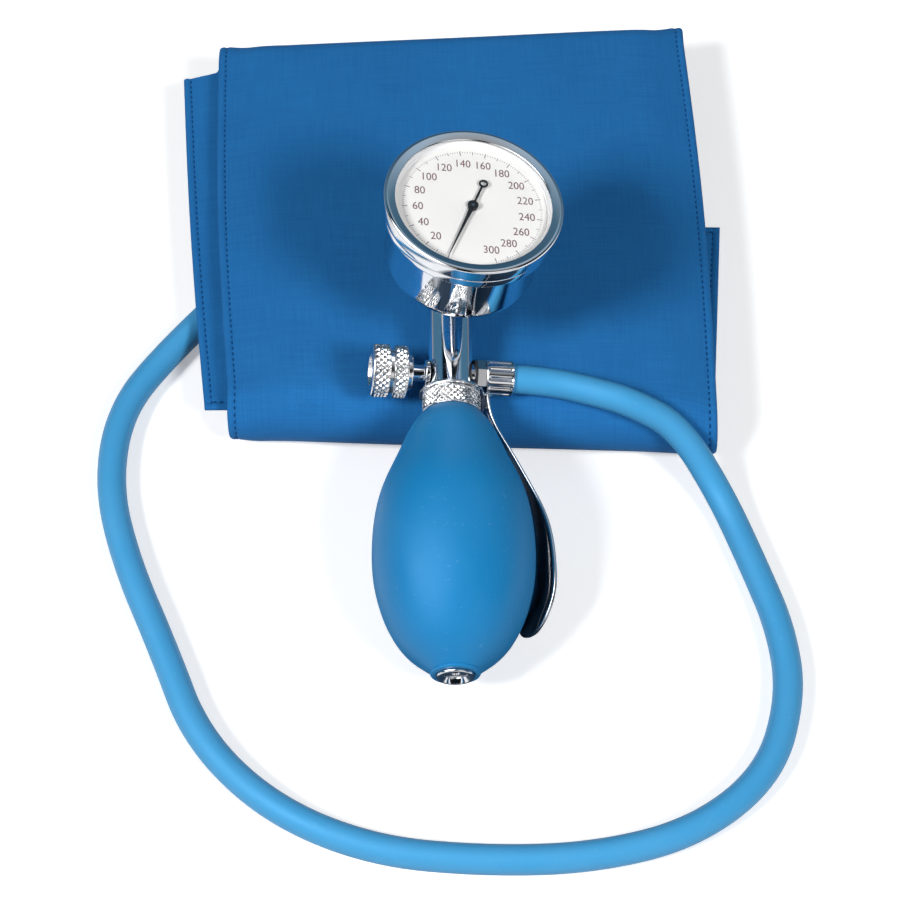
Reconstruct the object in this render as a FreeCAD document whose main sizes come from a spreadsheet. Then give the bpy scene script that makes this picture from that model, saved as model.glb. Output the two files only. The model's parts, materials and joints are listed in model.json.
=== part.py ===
import FreeCAD, Part
import math
import os
import Sketcher
from FreeCAD import Placement, Rotation, Vector

# Aneroid sphygmomanometer of the palm type: a gauge, a valve body, a bulb and a palm spoon in one
# handpiece, joined by a hose to a folded arm cuff. Millimetres, +Z up. The origin is the middle of
# the folded cuff's base, on the surface that the set lies on. +Y points from the bulb to the gauge.

# ---------------------------------------------------------------- driving dimensions (mm, degrees)
DIMENSIONS = {
    # handpiece: its own frame has Y along the valve body, X along the cross bores, Z to the gauge
    "hand_x": -5.66, "hand_y": -73.25, "hand_z": 35.1,
    "hand_roll": 9.2, "hand_pitch": 8.9, "hand_yaw": 0.75,
    "gauge_offset": 30.0, "gauge_lean": 8.2,
    "fit_gap": 0.05, "rest_gap": 0.3,
    # gauge case: heights up the gauge axis, each rise from the level below it
    "case_floor": 16.9, "case_wall": 1.2, "case_corner": 4.5, "case_corner_inside": 1.3,
    "case_step": 1.9, "case_thread_radius": 26.5, "thread_wall": 0.75, "ledge_width": 2.2,
    "ledge_rise": 2.7, "rim_rise": 3.1, "rim_gap": 0.2, "dial_thick": 0.6, "dial_hole": 1.5,
    "flange_step": 1.4, "flange_drop": 1.1, "flange_height": 3.5, "flange_edge": 0.5,
    "bezel_wall": 2.0, "bezel_drop": 0.7, "bezel_lip": 1.7, "bezel_lip_thick": 0.6,
    "bezel_edge": 1.0, "lens_thick": 1.0, "gasket_width": 0.8,
    # pressure capsule
    "capsule_clear": 1.9, "capsule_rise": 4.6, "capsule_plate": 1.0, "capsule_lift": 0.9,
    "capsule_gap": 1.1, "capsule_skin": 0.5, "skirt_wall": 0.5, "skirt_depth": 1.6,
    "wave_height": 0.5, "wave_width": 2.8, "wave_count": 2, "post_radius": 1.5, "post_tip": 0.6,
    "inlet_radius": 1.2, "socket_wall": 1.5, "socket_depth": 0.8,
    # movement
    "base_plate_rise": 4.5, "plate_thick": 1.2, "plate_gap": 1.0, "bridge_rise": 6.6,
    "top_plate_rise": 1.9, "pillar_inset": 3.0, "pillar_radius": 1.5, "pillar_count": 3,
    "rocker_x": 5.0, "rocker_rise": 4.0, "rocker_radius": 0.8, "rocker_start": -3.4,
    "rocker_end": 19.8, "arm_thick": 0.8, "lug_width": 3.2, "lug_thick": 1.2, "lug_over": 1.4,
    "gear_module": 0.3, "pinion_teeth": 12, "sector_teeth": 120, "sector_cut_teeth": 15,
    "gear_backlash": 0.05, "pressure_angle": 20.0, "sector_rise": 7.0, "sector_thick": 1.0,
    "sector_hub": 1.7, "sector_swing": 32.0, "pinion_drop": 0.4, "pinion_height": 1.8,
    "arbor_radius": 0.9, "pivot_radius": 0.5, "pivot_length": 0.9, "pin_radius": 0.45,
    "pin_length": 3.1, "push_drop": 1.4, "end_shake": 0.05, "arbor_tip_radius": 0.6,
    "pointer_rise": 0.8, "pointer_thick": 0.3, "pointer_reach": 21.0, "pointer_tail": 8.6,
    "pointer_hub": 1.7, "pointer_ring": 1.7, "pointer_ring_wall": 0.65, "pointer_width": 0.85,
    "pointer_zero": 22.4,
    "spring_rise": 3.4, "spring_height": 0.8, "spring_start": 1.6, "spring_pitch": 0.9,
    "spring_turns": 4, "spring_thick": 0.2, "stud_radius": 0.6,
    "screw_head_radius": 1.5, "screw_head": 0.8, "screw_slot": 0.4,
    # gauge stem
    "stem_radius": 4.0, "stem_shoulder": 6.0, "stem_bore": 1.2, "stem_root": 4.2,
    "boss_top": 8.6, "seal_thick": 1.0, "stem_nut_flats": 11.4, "stem_nut_height": 2.3,
    # valve body
    "valve_radius": 7.25, "valve_back": 6.5, "valve_front": 39.0, "valve_edge": 2.2,
    "valve_neck_radius": 5.5, "valve_neck_end": 13.5, "air_bore": 2.2, "air_bore_end": 33.0,
    "cage_bore": 3.6, "cross_bore": 4.0, "seat_depth": 2.6, "seat_bore": 1.0,
    # bulb end
    "nut_radius": 9.4, "nut_start": 7.5, "nut_end": 14.1, "nut_edge": 0.4,
    "cage_barb": 5.2, "cage_end": 28.0, "ball_radius": 1.5, "ball_room": 1.95, "ball_travel": 0.8,
    "ball_back": 17.5, "port_radius": 0.9,
    "bulb_start": 14.3, "bulb_neck_radius": 9.3, "bulb_wall": 2.6, "bulb_radius": 25.6,
    "bulb_end": 103.4, "bulb_lip_radius": 7.6, "bulb_lip": 1.1, "bulb_neck_grip": 8.0,
    "bulb_tail_grip": 12.0,
    "tail_radius": 6.0, "tail_barrel": 4.6, "tail_start": 90.0, "tail_end": 104.4,
    "tail_mouth": 3.4, "retainer_thick": 1.2, "retainer_hole": 1.3,
    # palm spoon
    "spoon_thick": 0.9, "spoon_collar": 10.4, "spoon_turn": 108.0, "spoon_sweep": 70.0,
    "spoon_root_width": 10.0, "spoon_width": 23.0, "spoon_end": 84.5, "spoon_mid_radius": 31.2,
    # release valve, measured out along the left cross bore
    "bonnet_start": 4.9, "bonnet_flange": 4.4, "bonnet_flange_end": 8.6, "bonnet_neck": 2.6,
    "bonnet_taper": 0.4,
    "bonnet_end": 12.6, "spindle_radius": 1.5, "spindle_tip": 4.45, "spindle_end": 23.5,
    "pad_radius": 1.9, "packing_height": 0.6, "packing_start": 11.0, "packing_room": 2.2,
    "knob_radius": 8.6, "knob_collar": 5.7, "knob_start": 12.9, "knob_shoulder": 14.6,
    "knob_end": 26.2, "knob_groove_start": 19.2, "knob_groove_end": 20.4, "knob_groove_depth": 1.2,
    "knob_edge": 0.5, "knob_dish": 5.2, "knob_dish_depth": 0.8, "thread_pitch": 0.75,
    "release_turns": 1.5,
    # hose connection, measured out along the right cross bore
    "nipple_start": 3.0, "washer_thick": 0.8, "nipple_hex": 9.4, "nipple_hex_end": 10.8,
    "nipple_tube": 3.0, "nipple_bore": 1.7, "nipple_barb": 3.4, "nipple_end": 28.0,
    "barb_pitch": 3.4, "coupling_radius": 5.85, "coupling_start": 10.9, "coupling_end": 20.0,
    "coupling_flutes": 12, "flute_radius": 0.9, "coupling_edge": 0.4,
    # hose
    "hose_diameter": 9.4,
    # folded cuff
    "cuff_height": 26.0, "cuff_width": 157.5, "layer_thick": 7.25, "cuff_left": -80.5,
    "fold_front": -68.0, "fold_back": 76.2, "middle_left": -93.0, "middle_front": -68.0,
    "flap_left": -74.0, "flap_width": 157.5, "flap_back": 9.0,
    "cloth_thick": 1.3, "pocket_left": -73.5, "pocket_width": 124.0, "pocket_front": -62.0,
    "pocket_top_end": 8.0, "tab_length": 18.5, "tab_width": 22.0, "patch_thick": 1.8,
    "patch_inset": 6.0, "hook_length": 48.0, "loop_length": 62.0,
    # cuff port under the middle layer
    "port_x": -80.0, "port_y": -16.0, "port_turn": 51.4, "port_tube": 4.4, "port_bore": 1.9,
    "port_flange": 9.0, "port_flange_thick": 0.8, "port_reach": 8.0, "port_barb": 2.9,
    "port_barb_end": 19.0, "port_low": 0.6, "hose_low": 5.0,
}

# The hose's centre line, from the valve's connector to the cuff's port. The two ends are worked out
# from the connector and the port; these are the points between them, in millimetres.
HOSE_ROUTE = [
    (25.96, -72.05, 30.04), (41.0, -76.4, 30.2), (52.5, -80.0, 29.4), (68.0, -84.4, 21.8),
    (82.0, -100.5, 5.6), (91.0, -127.0, 4.95), (98.0, -150.0, 4.95), (99.8, -174.0, 4.95),
    (91.5, -202.0, 4.95), (68.0, -222.0, 4.95), (37.0, -230.5, 4.95), (4.0, -231.5, 4.95),
    (-30.0, -228.0, 4.95), (-61.0, -213.5, 4.95), (-84.0, -189.0, 4.95), (-95.5, -158.0, 4.95),
    (-109.0, -126.0, 4.95), (-117.0, -96.0, 4.95), (-115.0, -66.0, 4.95), (-101.5, -43.0, 4.95),
]

DOC = FreeCAD.newDocument("Sphygmomanometer")
SHEET = DOC.addObject("Spreadsheet::Sheet", "Sizes")


class Size:
    """A length or angle with its present value and the sheet formula that gives it."""

    def __init__(self, formula, value):
        self.formula = formula
        self.value = value

    def join(self, sign, other, value):
        return Size("(%s %s %s)" % (self.formula, sign, as_size(other).formula), value)

    def __add__(self, other):
        return self.join("+", other, self.value + as_size(other).value)

    def __sub__(self, other):
        return self.join("-", other, self.value - as_size(other).value)

    def __mul__(self, other):
        return self.join("*", other, self.value * as_size(other).value)

    def __truediv__(self, other):
        return self.join("/", other, self.value / as_size(other).value)

    def __radd__(self, other):
        return as_size(other) + self

    def __rsub__(self, other):
        return as_size(other) - self

    def __rmul__(self, other):
        return as_size(other) * self

    def __neg__(self):
        return as_size(0.0) - self


def as_size(number):
    """Turn a plain number into a Size; a Size comes back as it is."""
    if isinstance(number, Size):
        return number
    return Size(repr(float(number)), float(number))


def value_of(number):
    """The plain value of a Size or a number."""
    return as_size(number).value


def fill_sheet():
    """Write every driving dimension into the sheet, one alias for each."""
    for row, (name, number) in enumerate(DIMENSIONS.items(), start=1):
        SHEET.set("A%d" % row, name)
        SHEET.set("B%d" % row, str(number))
        SHEET.setAlias("B%d" % row, name)
    DOC.recompute()


def dim(name):
    """The driving dimension of that name, as a Size bound to its cell."""
    return Size("Sizes.%s" % name, float(SHEET.get(name)))


fill_sheet()
NODES = {}
GAP = dim("fit_gap")


# ---------------------------------------------------------------------------------------- frames
def turn(axis, angle):
    """A turn about one of the main axes, in degrees."""
    axes = {"x": Vector(1, 0, 0), "y": Vector(0, 1, 0), "z": Vector(0, 0, 1)}
    return Placement(Vector(0, 0, 0), Rotation(axes[axis], value_of(angle)))


def shift(x, y, z):
    """A move along X, Y and Z."""
    return Placement(Vector(value_of(x), value_of(y), value_of(z)), Rotation())


HAND = (shift(dim("hand_x"), dim("hand_y"), dim("hand_z"))
        * turn("z", dim("hand_yaw")) * turn("x", dim("hand_pitch")) * turn("y", dim("hand_roll")))
TO_GAUGE_END = HAND * turn("x", -90)
TO_BULB_END = HAND * turn("x", 90)
TO_LEFT = HAND * turn("y", -90)
TO_RIGHT = HAND * turn("y", 90)
GAUGE = HAND * shift(0, dim("gauge_offset"), 0) * turn("x", -dim("gauge_lean"))
CUFF = Placement()


# --------------------------------------------------------------------------- modelling functions
def bind(thing, **sizes):
    """Set properties of a document object from the sheet."""
    for prop, size in sizes.items():
        thing.setExpression(prop, as_size(size).formula)


def put(thing, x, y, z):
    """Place a primitive from the sheet."""
    for axis, size in zip("xyz", (x, y, z)):
        thing.setExpression("Placement.Base." + axis, as_size(size).formula)
    return thing


def node(label, thing, frame):
    """Register a finished piece under its name, in its frame."""
    thing.Label = label
    thing.Placement = frame
    NODES[label] = thing
    return thing


def rod(radius, start, end, x=0, y=0):
    """An upright cylinder from start to end."""
    thing = DOC.addObject("Part::Cylinder", "Rod")
    bind(thing, Radius=radius, Height=as_size(end) - start)
    return put(thing, x, y, start)


def lying_rod(radius, start, end, x=0, z=0):
    """A cylinder along Y from start to end."""
    thing = DOC.addObject("Part::Cylinder", "Rod")
    thing.Placement = turn("x", -90)
    bind(thing, Radius=radius, Height=as_size(end) - start)
    return put(thing, x, start, z)


def block(x_start, x_end, y_start, y_end, z_start, z_end):
    """A box between two corners."""
    thing = DOC.addObject("Part::Box", "Block")
    bind(thing, Length=as_size(x_end) - x_start, Width=as_size(y_end) - y_start,
         Height=as_size(z_end) - z_start)
    return put(thing, x_start, y_start, z_start)


def fused(*things):
    """Several pieces made one."""
    thing = DOC.addObject("Part::MultiFuse", "Fused")
    thing.Shapes = list(things)
    thing.Refine = True
    return thing


def cut(base, *tools):
    """A piece with other pieces taken out of it."""
    thing = DOC.addObject("Part::Cut", "Cut")
    thing.Base = base
    thing.Tool = tools[0] if len(tools) == 1 else fused(*tools)
    thing.Refine = True
    return thing


def kept(base, tool):
    """What two pieces have in common."""
    thing = DOC.addObject("Part::Common", "Kept")
    thing.Base = base
    thing.Tool = tool
    return thing


def moved(thing, frame):
    """A piece carried to another place with everything in it."""
    group = DOC.addObject("Part::Compound", "Moved")
    group.Links = [thing]
    group.Placement = frame
    return group


def hexagon(across_flats, start, end):
    """An upright hexagonal prism."""
    thing = DOC.addObject("Part::Prism", "Hexagon")
    thing.Polygon = 6
    bind(thing, Circumradius=as_size(across_flats) / math.sqrt(3), Height=as_size(end) - start)
    return put(thing, 0, 0, start)


def outline_sketch(body, plane, corners):
    """A closed sketch of straight lines; every corner's place comes from the sheet."""
    sketch = body.newObject("Sketcher::SketchObject", "Profile")
    origin_plane = [part for part in body.Origin.OriginFeatures if part.Role == plane][0]
    sketch.AttachmentSupport = [(origin_plane, "")]
    sketch.MapMode = "FlatFace"
    points = [Vector(value_of(across), value_of(up), 0) for across, up in corners]
    count = len(points)
    for index, point in enumerate(points):
        sketch.addGeometry(Part.LineSegment(point, points[(index + 1) % count]), False)
    for index in range(count):
        sketch.addConstraint(Sketcher.Constraint("Coincident", index, 2, (index + 1) % count, 1))
    for index, (across, up) in enumerate(corners):
        for kind, size in (("DistanceX", across), ("DistanceY", up)):
            number = sketch.addConstraint(
                Sketcher.Constraint(kind, -1, 1, index, 1, value_of(size)))
            sketch.setExpression("Constraints[%d]" % number, as_size(size).formula)
    return sketch


def turned(corners, edges=()):
    """A lathe-turned body about Z from (radius, height) corners; edges are rounded afterwards.

    Each edge is (radius, height, rounding): the circle at that radius and height is rounded.
    """
    body = DOC.addObject("PartDesign::Body", "Turned")
    sketch = outline_sketch(body, "XZ_Plane", corners)
    revolution = body.newObject("PartDesign::Revolution", "Revolution")
    revolution.Profile = sketch
    revolution.ReferenceAxis = (sketch, ["V_Axis"])
    revolution.Angle = 360
    body.Tip = revolution
    for rounding in sorted({value_of(edge[2]) for edge in edges}):
        DOC.recompute()
        same = [edge for edge in edges if value_of(edge[2]) == rounding]
        names = [name for edge in same for name in circles_at(body, edge[0], edge[1])]
        sharp = body.Tip
        fillet = body.newObject("PartDesign::Fillet", "Rounding")
        fillet.Base = (sharp, names)
        bind(fillet, Radius=same[0][2])
        body.Tip = fillet
    return body


def circles_at(body, radius, height):
    """Names of a turned body's circular edges at one radius and height."""
    found = []
    for index, edge in enumerate(body.Tip.Shape.Edges, start=1):
        curve = edge.Curve
        if not hasattr(curve, "Radius"):
            continue
        near_radius = abs(curve.Radius - value_of(radius)) < 1e-4
        if near_radius and abs(curve.Center.z - value_of(height)) < 1e-4:
            found.append("Edge%d" % index)
    return found


def disc(radius, start, end):
    """A plain turned disc or pin on the axis."""
    return turned([(0, start), (radius, start), (radius, end), (0, end)])


def tube(inner, outer, start, end):
    """A plain turned ring or bush."""
    return turned([(inner, start), (outer, start), (outer, end), (inner, end)])


def shaped(shape):
    """A document object that carries a shape worked out with Part's own functions."""
    thing = DOC.addObject("Part::Feature", "Shaped")
    thing.Shape = shape
    return thing


def arc_chain(points, heading, offset=0.0):
    """Tangent arcs through (across, up) points, moved to the right of the way by an offset.

    The first arc leaves at the heading, in degrees up from across. Each next arc leaves in the
    direction in which the one before it ended.
    """
    edges = []
    along = Vector(math.cos(math.radians(heading)), 0, math.sin(math.radians(heading)))
    for (across, up), (next_across, next_up) in zip(points, points[1:]):
        here, there = Vector(across, 0, up), Vector(next_across, 0, next_up)
        chord = there - here
        half_length = chord.Length / 2
        chord.normalize()
        after = chord * (2 * along.dot(chord)) - along
        turning = math.atan2(along.x * chord.z - along.z * chord.x, along.dot(chord))
        bulge = right_of(chord) * (half_length * math.tan(turning / 2) + offset)
        edges.append(Part.Arc(here + right_of(along) * offset, (here + there) / 2 + bulge,
                              there + right_of(after) * offset).toShape())
        along = after
    return edges


def right_of(way):
    """The direction to the right of a way in the plane of X and Z."""
    return Vector(way.z, 0, -way.x)


# ------------------------------------------------------------------------------------- the gauge
CASE_INSIDE = dim("case_floor") + dim("case_wall")
CAPSULE_BASE = dim("case_floor") + dim("capsule_rise")
BASE_PLATE = CAPSULE_BASE + dim("base_plate_rise")
ROCKER_Z = BASE_PLATE + dim("rocker_rise")
BRIDGE = BASE_PLATE + dim("bridge_rise")
SECTOR_Z = BRIDGE + dim("sector_rise")
TOP_PLATE = SECTOR_Z + dim("top_plate_rise")
LEDGE = TOP_PLATE + dim("ledge_rise")
DIAL_TOP = LEDGE + dim("dial_thick")
RIM = LEDGE + dim("rim_rise")
LIP_BASE = RIM + dim("rim_gap")
LENS_BASE = LIP_BASE - GAP - dim("lens_thick")
FLANGE_TOP = LEDGE - dim("flange_drop")
POINTER_Z = DIAL_TOP + dim("pointer_rise")
SPRING_Z = BRIDGE + dim("spring_rise")
THREAD_INSIDE = dim("case_thread_radius") - dim("thread_wall")
CASE_RADIUS = dim("case_thread_radius") - dim("case_step")
CASE_BORE = CASE_RADIUS - dim("case_wall")
PLATE_RADIUS = CASE_BORE - dim("plate_gap")
PILLAR_CIRCLE = CASE_BORE - dim("pillar_inset")
CAPSULE_RADIUS = PILLAR_CIRCLE - dim("pillar_radius") - dim("capsule_clear")
FLANGE_RADIUS = dim("case_thread_radius") + dim("flange_step")
BEZEL_RADIUS = dim("case_thread_radius") + dim("bezel_wall")


def make_case():
    """Gauge case: a deep cup with a flange below the bezel and a thin threaded rim."""
    floor = dim("case_floor")
    flange_base = FLANGE_TOP - dim("flange_height")
    edge = dim("flange_edge")
    corners = [
        (dim("stem_radius") + GAP, floor), (CASE_RADIUS, floor), (CASE_RADIUS, flange_base),
        (FLANGE_RADIUS - edge, flange_base), (FLANGE_RADIUS, flange_base + edge),
        (FLANGE_RADIUS, FLANGE_TOP - edge), (FLANGE_RADIUS - edge, FLANGE_TOP),
        (dim("case_thread_radius"), FLANGE_TOP), (dim("case_thread_radius"), RIM),
        (THREAD_INSIDE, RIM), (THREAD_INSIDE, LEDGE), (THREAD_INSIDE - dim("ledge_width"), LEDGE),
        (CASE_BORE, LEDGE - dim("ledge_width")),
        (CASE_BORE, CASE_INSIDE + dim("case_corner_inside")),
        (CASE_BORE - dim("case_corner_inside"), CASE_INSIDE),
        (dim("stem_radius") + GAP, CASE_INSIDE),
    ]
    node("gauge_case", turned(corners, [(CASE_RADIUS, floor, dim("case_corner"))]), GAUGE)


def make_bezel():
    """Bezel ring: screws over the case's rim and holds the lens down with its lip."""
    bore = dim("case_thread_radius") + GAP
    base = LEDGE - dim("bezel_drop")
    top = LIP_BASE + dim("bezel_lip_thick")
    lip_radius = dim("case_thread_radius") - dim("bezel_lip")
    edge = dim("bezel_edge")
    corners = [
        (bore, base), (BEZEL_RADIUS - dim("flange_edge"), base),
        (BEZEL_RADIUS, base + dim("flange_edge")), (BEZEL_RADIUS, top - edge),
        (BEZEL_RADIUS - edge, top), (lip_radius, top), (lip_radius, LIP_BASE), (bore, LIP_BASE),
    ]
    node("bezel_ring", turned(corners), GAUGE)


def make_face():
    """Dial, the packing ring on its edge, and the lens above."""
    rim = THREAD_INSIDE - GAP
    node("dial_plate", tube(dim("dial_hole"), rim, LEDGE, DIAL_TOP), GAUGE)
    node("lens_packing", tube(rim - dim("gasket_width"), rim, DIAL_TOP, LENS_BASE), GAUGE)
    node("gauge_lens", disc(rim, LENS_BASE, LENS_BASE + dim("lens_thick")), GAUGE)


def make_stem():
    """Hollow threaded stem, its seal on the valve body and the nut inside the case."""
    shoulder_base = dim("boss_top") + dim("seal_thick")
    top = CAPSULE_BASE - GAP
    stem = fused(rod(dim("stem_radius"), dim("stem_root"), top),
                 hexagon(dim("stem_shoulder") * 2, shoulder_base, dim("case_floor")))
    node("gauge_stem", cut(stem, rod(dim("stem_bore"), dim("stem_root"), top)), GAUGE)
    seal = tube(dim("stem_radius") + GAP, dim("stem_shoulder"), dim("boss_top"), shoulder_base)
    node("stem_seal", seal, GAUGE)
    nut_top = CASE_INSIDE + dim("stem_nut_height")
    nut = cut(hexagon(dim("stem_nut_flats"), CASE_INSIDE, nut_top),
              rod(dim("stem_radius") + GAP, CASE_INSIDE, nut_top))
    node("stem_nut", nut, GAUGE)


# ---------------------------------------------------------------------------- capsule and movement
CAPSULE_TOP = CAPSULE_BASE + dim("capsule_plate")
SKIN_BASE = CAPSULE_TOP + dim("capsule_gap")
ARM_REACH = dim("rocker_x")
ROCKER_HALF_SWING = math.degrees(math.asin(value_of(dim("capsule_lift") / ARM_REACH / 2)))
SECTOR_HALF_SWING = value_of(dim("sector_swing")) / 2
PUSH_HEIGHT = SECTOR_Z - dim("push_drop") - ROCKER_Z
PIN_ARM = (PUSH_HEIGHT * math.sin(math.radians(ROCKER_HALF_SWING))
           / math.sin(math.radians(SECTOR_HALF_SWING)))
PITCH_PINION = dim("gear_module") * dim("pinion_teeth") / 2
PITCH_SECTOR = dim("gear_module") * dim("sector_teeth") / 2
CENTRES = PITCH_PINION + PITCH_SECTOR
ARM_TIP = dim("post_tip") + GAP
POST_TOP = (ROCKER_Z - (ARM_REACH + ARM_TIP) * (dim("capsule_lift") / ARM_REACH / 2)
            - dim("arm_thick") / 2 - GAP)


def make_capsule():
    """Pressure capsule: a fixed plate with the inlet, and a waved diaphragm that lifts."""
    base = CAPSULE_BASE
    socket = dim("stem_radius") + GAP
    plate = turned([
        (dim("inlet_radius"), base), (socket, base), (socket, base - dim("socket_depth")),
        (socket + dim("socket_wall"), base - dim("socket_depth")),
        (socket + dim("socket_wall"), base), (CAPSULE_RADIUS, base),
        (CAPSULE_RADIUS, CAPSULE_TOP), (dim("inlet_radius"), CAPSULE_TOP),
    ])
    node("capsule_plate", plate, GAUGE)
    inside = CAPSULE_RADIUS + GAP
    outside = inside + dim("skirt_wall")
    skirt_base = SKIN_BASE - dim("skirt_depth")
    under = []
    over = []
    wave = dim("wave_width")
    for crest in range(int(DIMENSIONS["wave_count"])):
        start = outside - 1.2 * wave - 1.6 * wave * crest
        under += [(start, SKIN_BASE), (start - wave / 2, SKIN_BASE + dim("wave_height")),
                  (start - wave, SKIN_BASE)]
        over += [(start, SKIN_BASE + dim("capsule_skin")),
                 (start - wave / 2, SKIN_BASE + dim("capsule_skin") + dim("wave_height")),
                 (start - wave, SKIN_BASE + dim("capsule_skin"))]
    corners = ([(outside, skirt_base), (outside, SKIN_BASE + dim("capsule_skin"))] + over
               + [(dim("post_radius"), SKIN_BASE + dim("capsule_skin")),
                  (dim("post_radius"), POST_TOP - dim("post_radius")),
                  (dim("post_tip"), POST_TOP), (0, POST_TOP), (0, SKIN_BASE)]
               + list(reversed(under)) + [(inside, SKIN_BASE), (inside, skirt_base)])
    node("capsule_diaphragm", turned(corners), GAUGE)


def pivot_hole(x, y, start):
    """A pivot hole through one of the movement's plates."""
    over = dim("plate_thick") / 2
    radius = dim("pivot_radius") + GAP
    return rod(radius, start - over, start + dim("plate_thick") + over, x, y)


def make_plates():
    """The movement's three plates; the base plate has the rocking shaft's two lugs."""
    thick = dim("plate_thick")
    base = BASE_PLATE
    floor_plate = fused(rod(PLATE_RADIUS, base, base + thick), *[
        block(dim("rocker_x") - dim("lug_width") / 2, dim("rocker_x") + dim("lug_width") / 2,
              start, start + dim("lug_thick"), base + thick / 2, ROCKER_Z + dim("lug_over"))
        for start in (dim("rocker_start"), dim("rocker_end") - dim("lug_thick"))])
    post_room = rod(dim("post_radius") * 1.8, base - thick, base + 2 * thick)
    shaft_room = lying_rod(dim("rocker_radius") + GAP, dim("rocker_start") - thick,
                           dim("rocker_end") + thick, dim("rocker_x"), ROCKER_Z)
    node("movement_base_plate", cut(floor_plate, post_room, shaft_room), GAUGE)

    bridge = BRIDGE
    window = block(-2.2 * thick, dim("rocker_x") + thick, CENTRES - PIN_ARM - 1.5 * thick,
                   CENTRES - PIN_ARM + thick, bridge - thick, bridge + 2 * thick)
    plate = cut(rod(PLATE_RADIUS, bridge, bridge + thick), window,
                pivot_hole(0, 0, bridge), pivot_hole(0, CENTRES, bridge), *pillar_rods(
                    dim("pillar_radius") + GAP, bridge - thick, bridge + 2 * thick))
    node("movement_bridge", plate, GAUGE)

    top = TOP_PLATE
    view = rod(PITCH_PINION * 3, top - thick, top + 2 * thick, 0, -CENTRES / 2)
    arbor_room = rod(dim("arbor_tip_radius") + GAP, top - thick, top + 2 * thick)
    plate = cut(rod(PLATE_RADIUS, top, top + thick), view, arbor_room,
                pivot_hole(0, CENTRES, top))
    node("movement_top_plate", plate, GAUGE)


def pillar_rods(radius, start, end):
    """Rods at the pillars' places, a third of a turn apart and clear of the sector."""
    count = int(DIMENSIONS["pillar_count"])
    rods = []
    for index in range(count):
        angle = math.radians(-90 + 360.0 * index / count)
        rods.append(rod(radius, start, end, PILLAR_CIRCLE * math.cos(angle),
                        PILLAR_CIRCLE * math.sin(angle)))
    return rods


def make_pillars():
    """Pillars that carry the plates, and the screws that hold the top plate down."""
    thick = dim("plate_thick")
    sets = {
        "case_pillars": (CASE_INSIDE, BASE_PLATE),
        "plate_pillars": (BASE_PLATE + thick, TOP_PLATE),
    }
    for label, (start, end) in sets.items():
        group = DOC.addObject("Part::Compound", "Group")
        group.Links = pillar_rods(dim("pillar_radius"), start, end)
        node(label, group, GAUGE)
    head_base = TOP_PLATE + thick
    head_top = head_base + dim("screw_head")
    heads = pillar_rods(dim("screw_head_radius"), head_base, head_top)
    slot_depth = dim("screw_head") / 2
    screws = DOC.addObject("Part::Compound", "Group")
    screws.Links = [
        cut(head, put(slot_block(slot_depth * 2), head_x, head_y, head_top - slot_depth))
        for head, head_x, head_y in with_places(heads)]
    node("plate_screws", screws, GAUGE)


def slot_block(depth):
    """The screwdriver slot's block, centred by its own placement."""
    thing = DOC.addObject("Part::Box", "Slot")
    bind(thing, Length=dim("screw_head_radius") * 3, Width=dim("screw_slot"), Height=depth)
    return thing


def with_places(heads):
    """Each screw head with the corner where its slot block starts."""
    count = len(heads)
    for index, head in enumerate(heads):
        angle = math.radians(-90 + 360.0 * index / count)
        yield (head, PILLAR_CIRCLE * math.cos(angle) - dim("screw_head_radius") * 1.5,
               PILLAR_CIRCLE * math.sin(angle) - dim("screw_slot") / 2)


def make_rocker():
    """Rocking shaft: one arm lies on the capsule's post, the other pushes the sector's pin."""
    x, z = dim("rocker_x"), ROCKER_Z
    half = dim("arm_thick") / 2
    shaft = lying_rod(dim("rocker_radius"), dim("rocker_start"), dim("rocker_end"), x, z)
    lift_arm = block(-ARM_TIP, x, -half * 2, half * 2, z - half, z + half)
    push_face = -dim("pin_radius") - GAP
    reach_z = z + PUSH_HEIGHT
    pin_y = CENTRES - PIN_ARM
    body = DOC.addObject("PartDesign::Body", "PushArm")
    crank_z = SECTOR_Z - dim("pin_length") - dim("arm_thick")
    relieved = push_face - half
    corners = [
        (x - half, z), (x + half, z + half), (relieved, crank_z + half),
        (push_face, reach_z), (push_face - dim("arm_thick"), reach_z),
        (relieved - dim("arm_thick"), crank_z),
    ]
    sketch = outline_sketch(body, "XZ_Plane", corners)
    pad = body.newObject("PartDesign::Pad", "Pad")
    pad.Profile = sketch
    pad.Midplane = True
    bind(pad, Length=dim("arm_thick"))
    body.Tip = pad
    put(body, 0, pin_y, 0)
    rocker = fused(shaft, lift_arm, body)
    swing = (shift(x, 0, z) * turn("y", -ROCKER_HALF_SWING) * shift(-x, 0, -z))
    node("rocking_shaft", rocker, GAUGE * swing)


# -------------------------------------------------------------------------------------- gearing
def involute_flank(base_radius, start_radius, tip_radius, steps=5):
    """Points of an involute from the base circle outwards, as (radius, angle) pairs."""
    low = max(base_radius, start_radius)
    points = []
    for step in range(steps + 1):
        radius = low + (tip_radius - low) * step / steps
        roll = math.sqrt((radius / base_radius) ** 2 - 1)
        points.append((radius, roll - math.atan(roll)))
    return points


def tooth(pitch_radius, teeth, addendum, dedendum, thinning):
    """One tooth about +X: (radius, angle) points up one flank and down the other."""
    pressure = math.radians(value_of(dim("pressure_angle")))
    base_radius = pitch_radius * math.cos(pressure)
    root_radius = pitch_radius - dedendum
    half = math.pi / teeth / 2 - thinning / pitch_radius / 2
    offset = half + math.tan(pressure) - pressure
    flank = involute_flank(base_radius, root_radius, pitch_radius + addendum)
    rising = [(radius, angle - offset) for radius, angle in flank]
    if root_radius < base_radius:
        rising.insert(0, (root_radius, rising[0][1]))
    return rising + [(radius, -angle) for radius, angle in reversed(rising)]


def polar(radius, angle, height=0.0):
    """A point from a radius, an angle in radians and a height."""
    return Vector(radius * math.cos(angle), radius * math.sin(angle), height)


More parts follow.
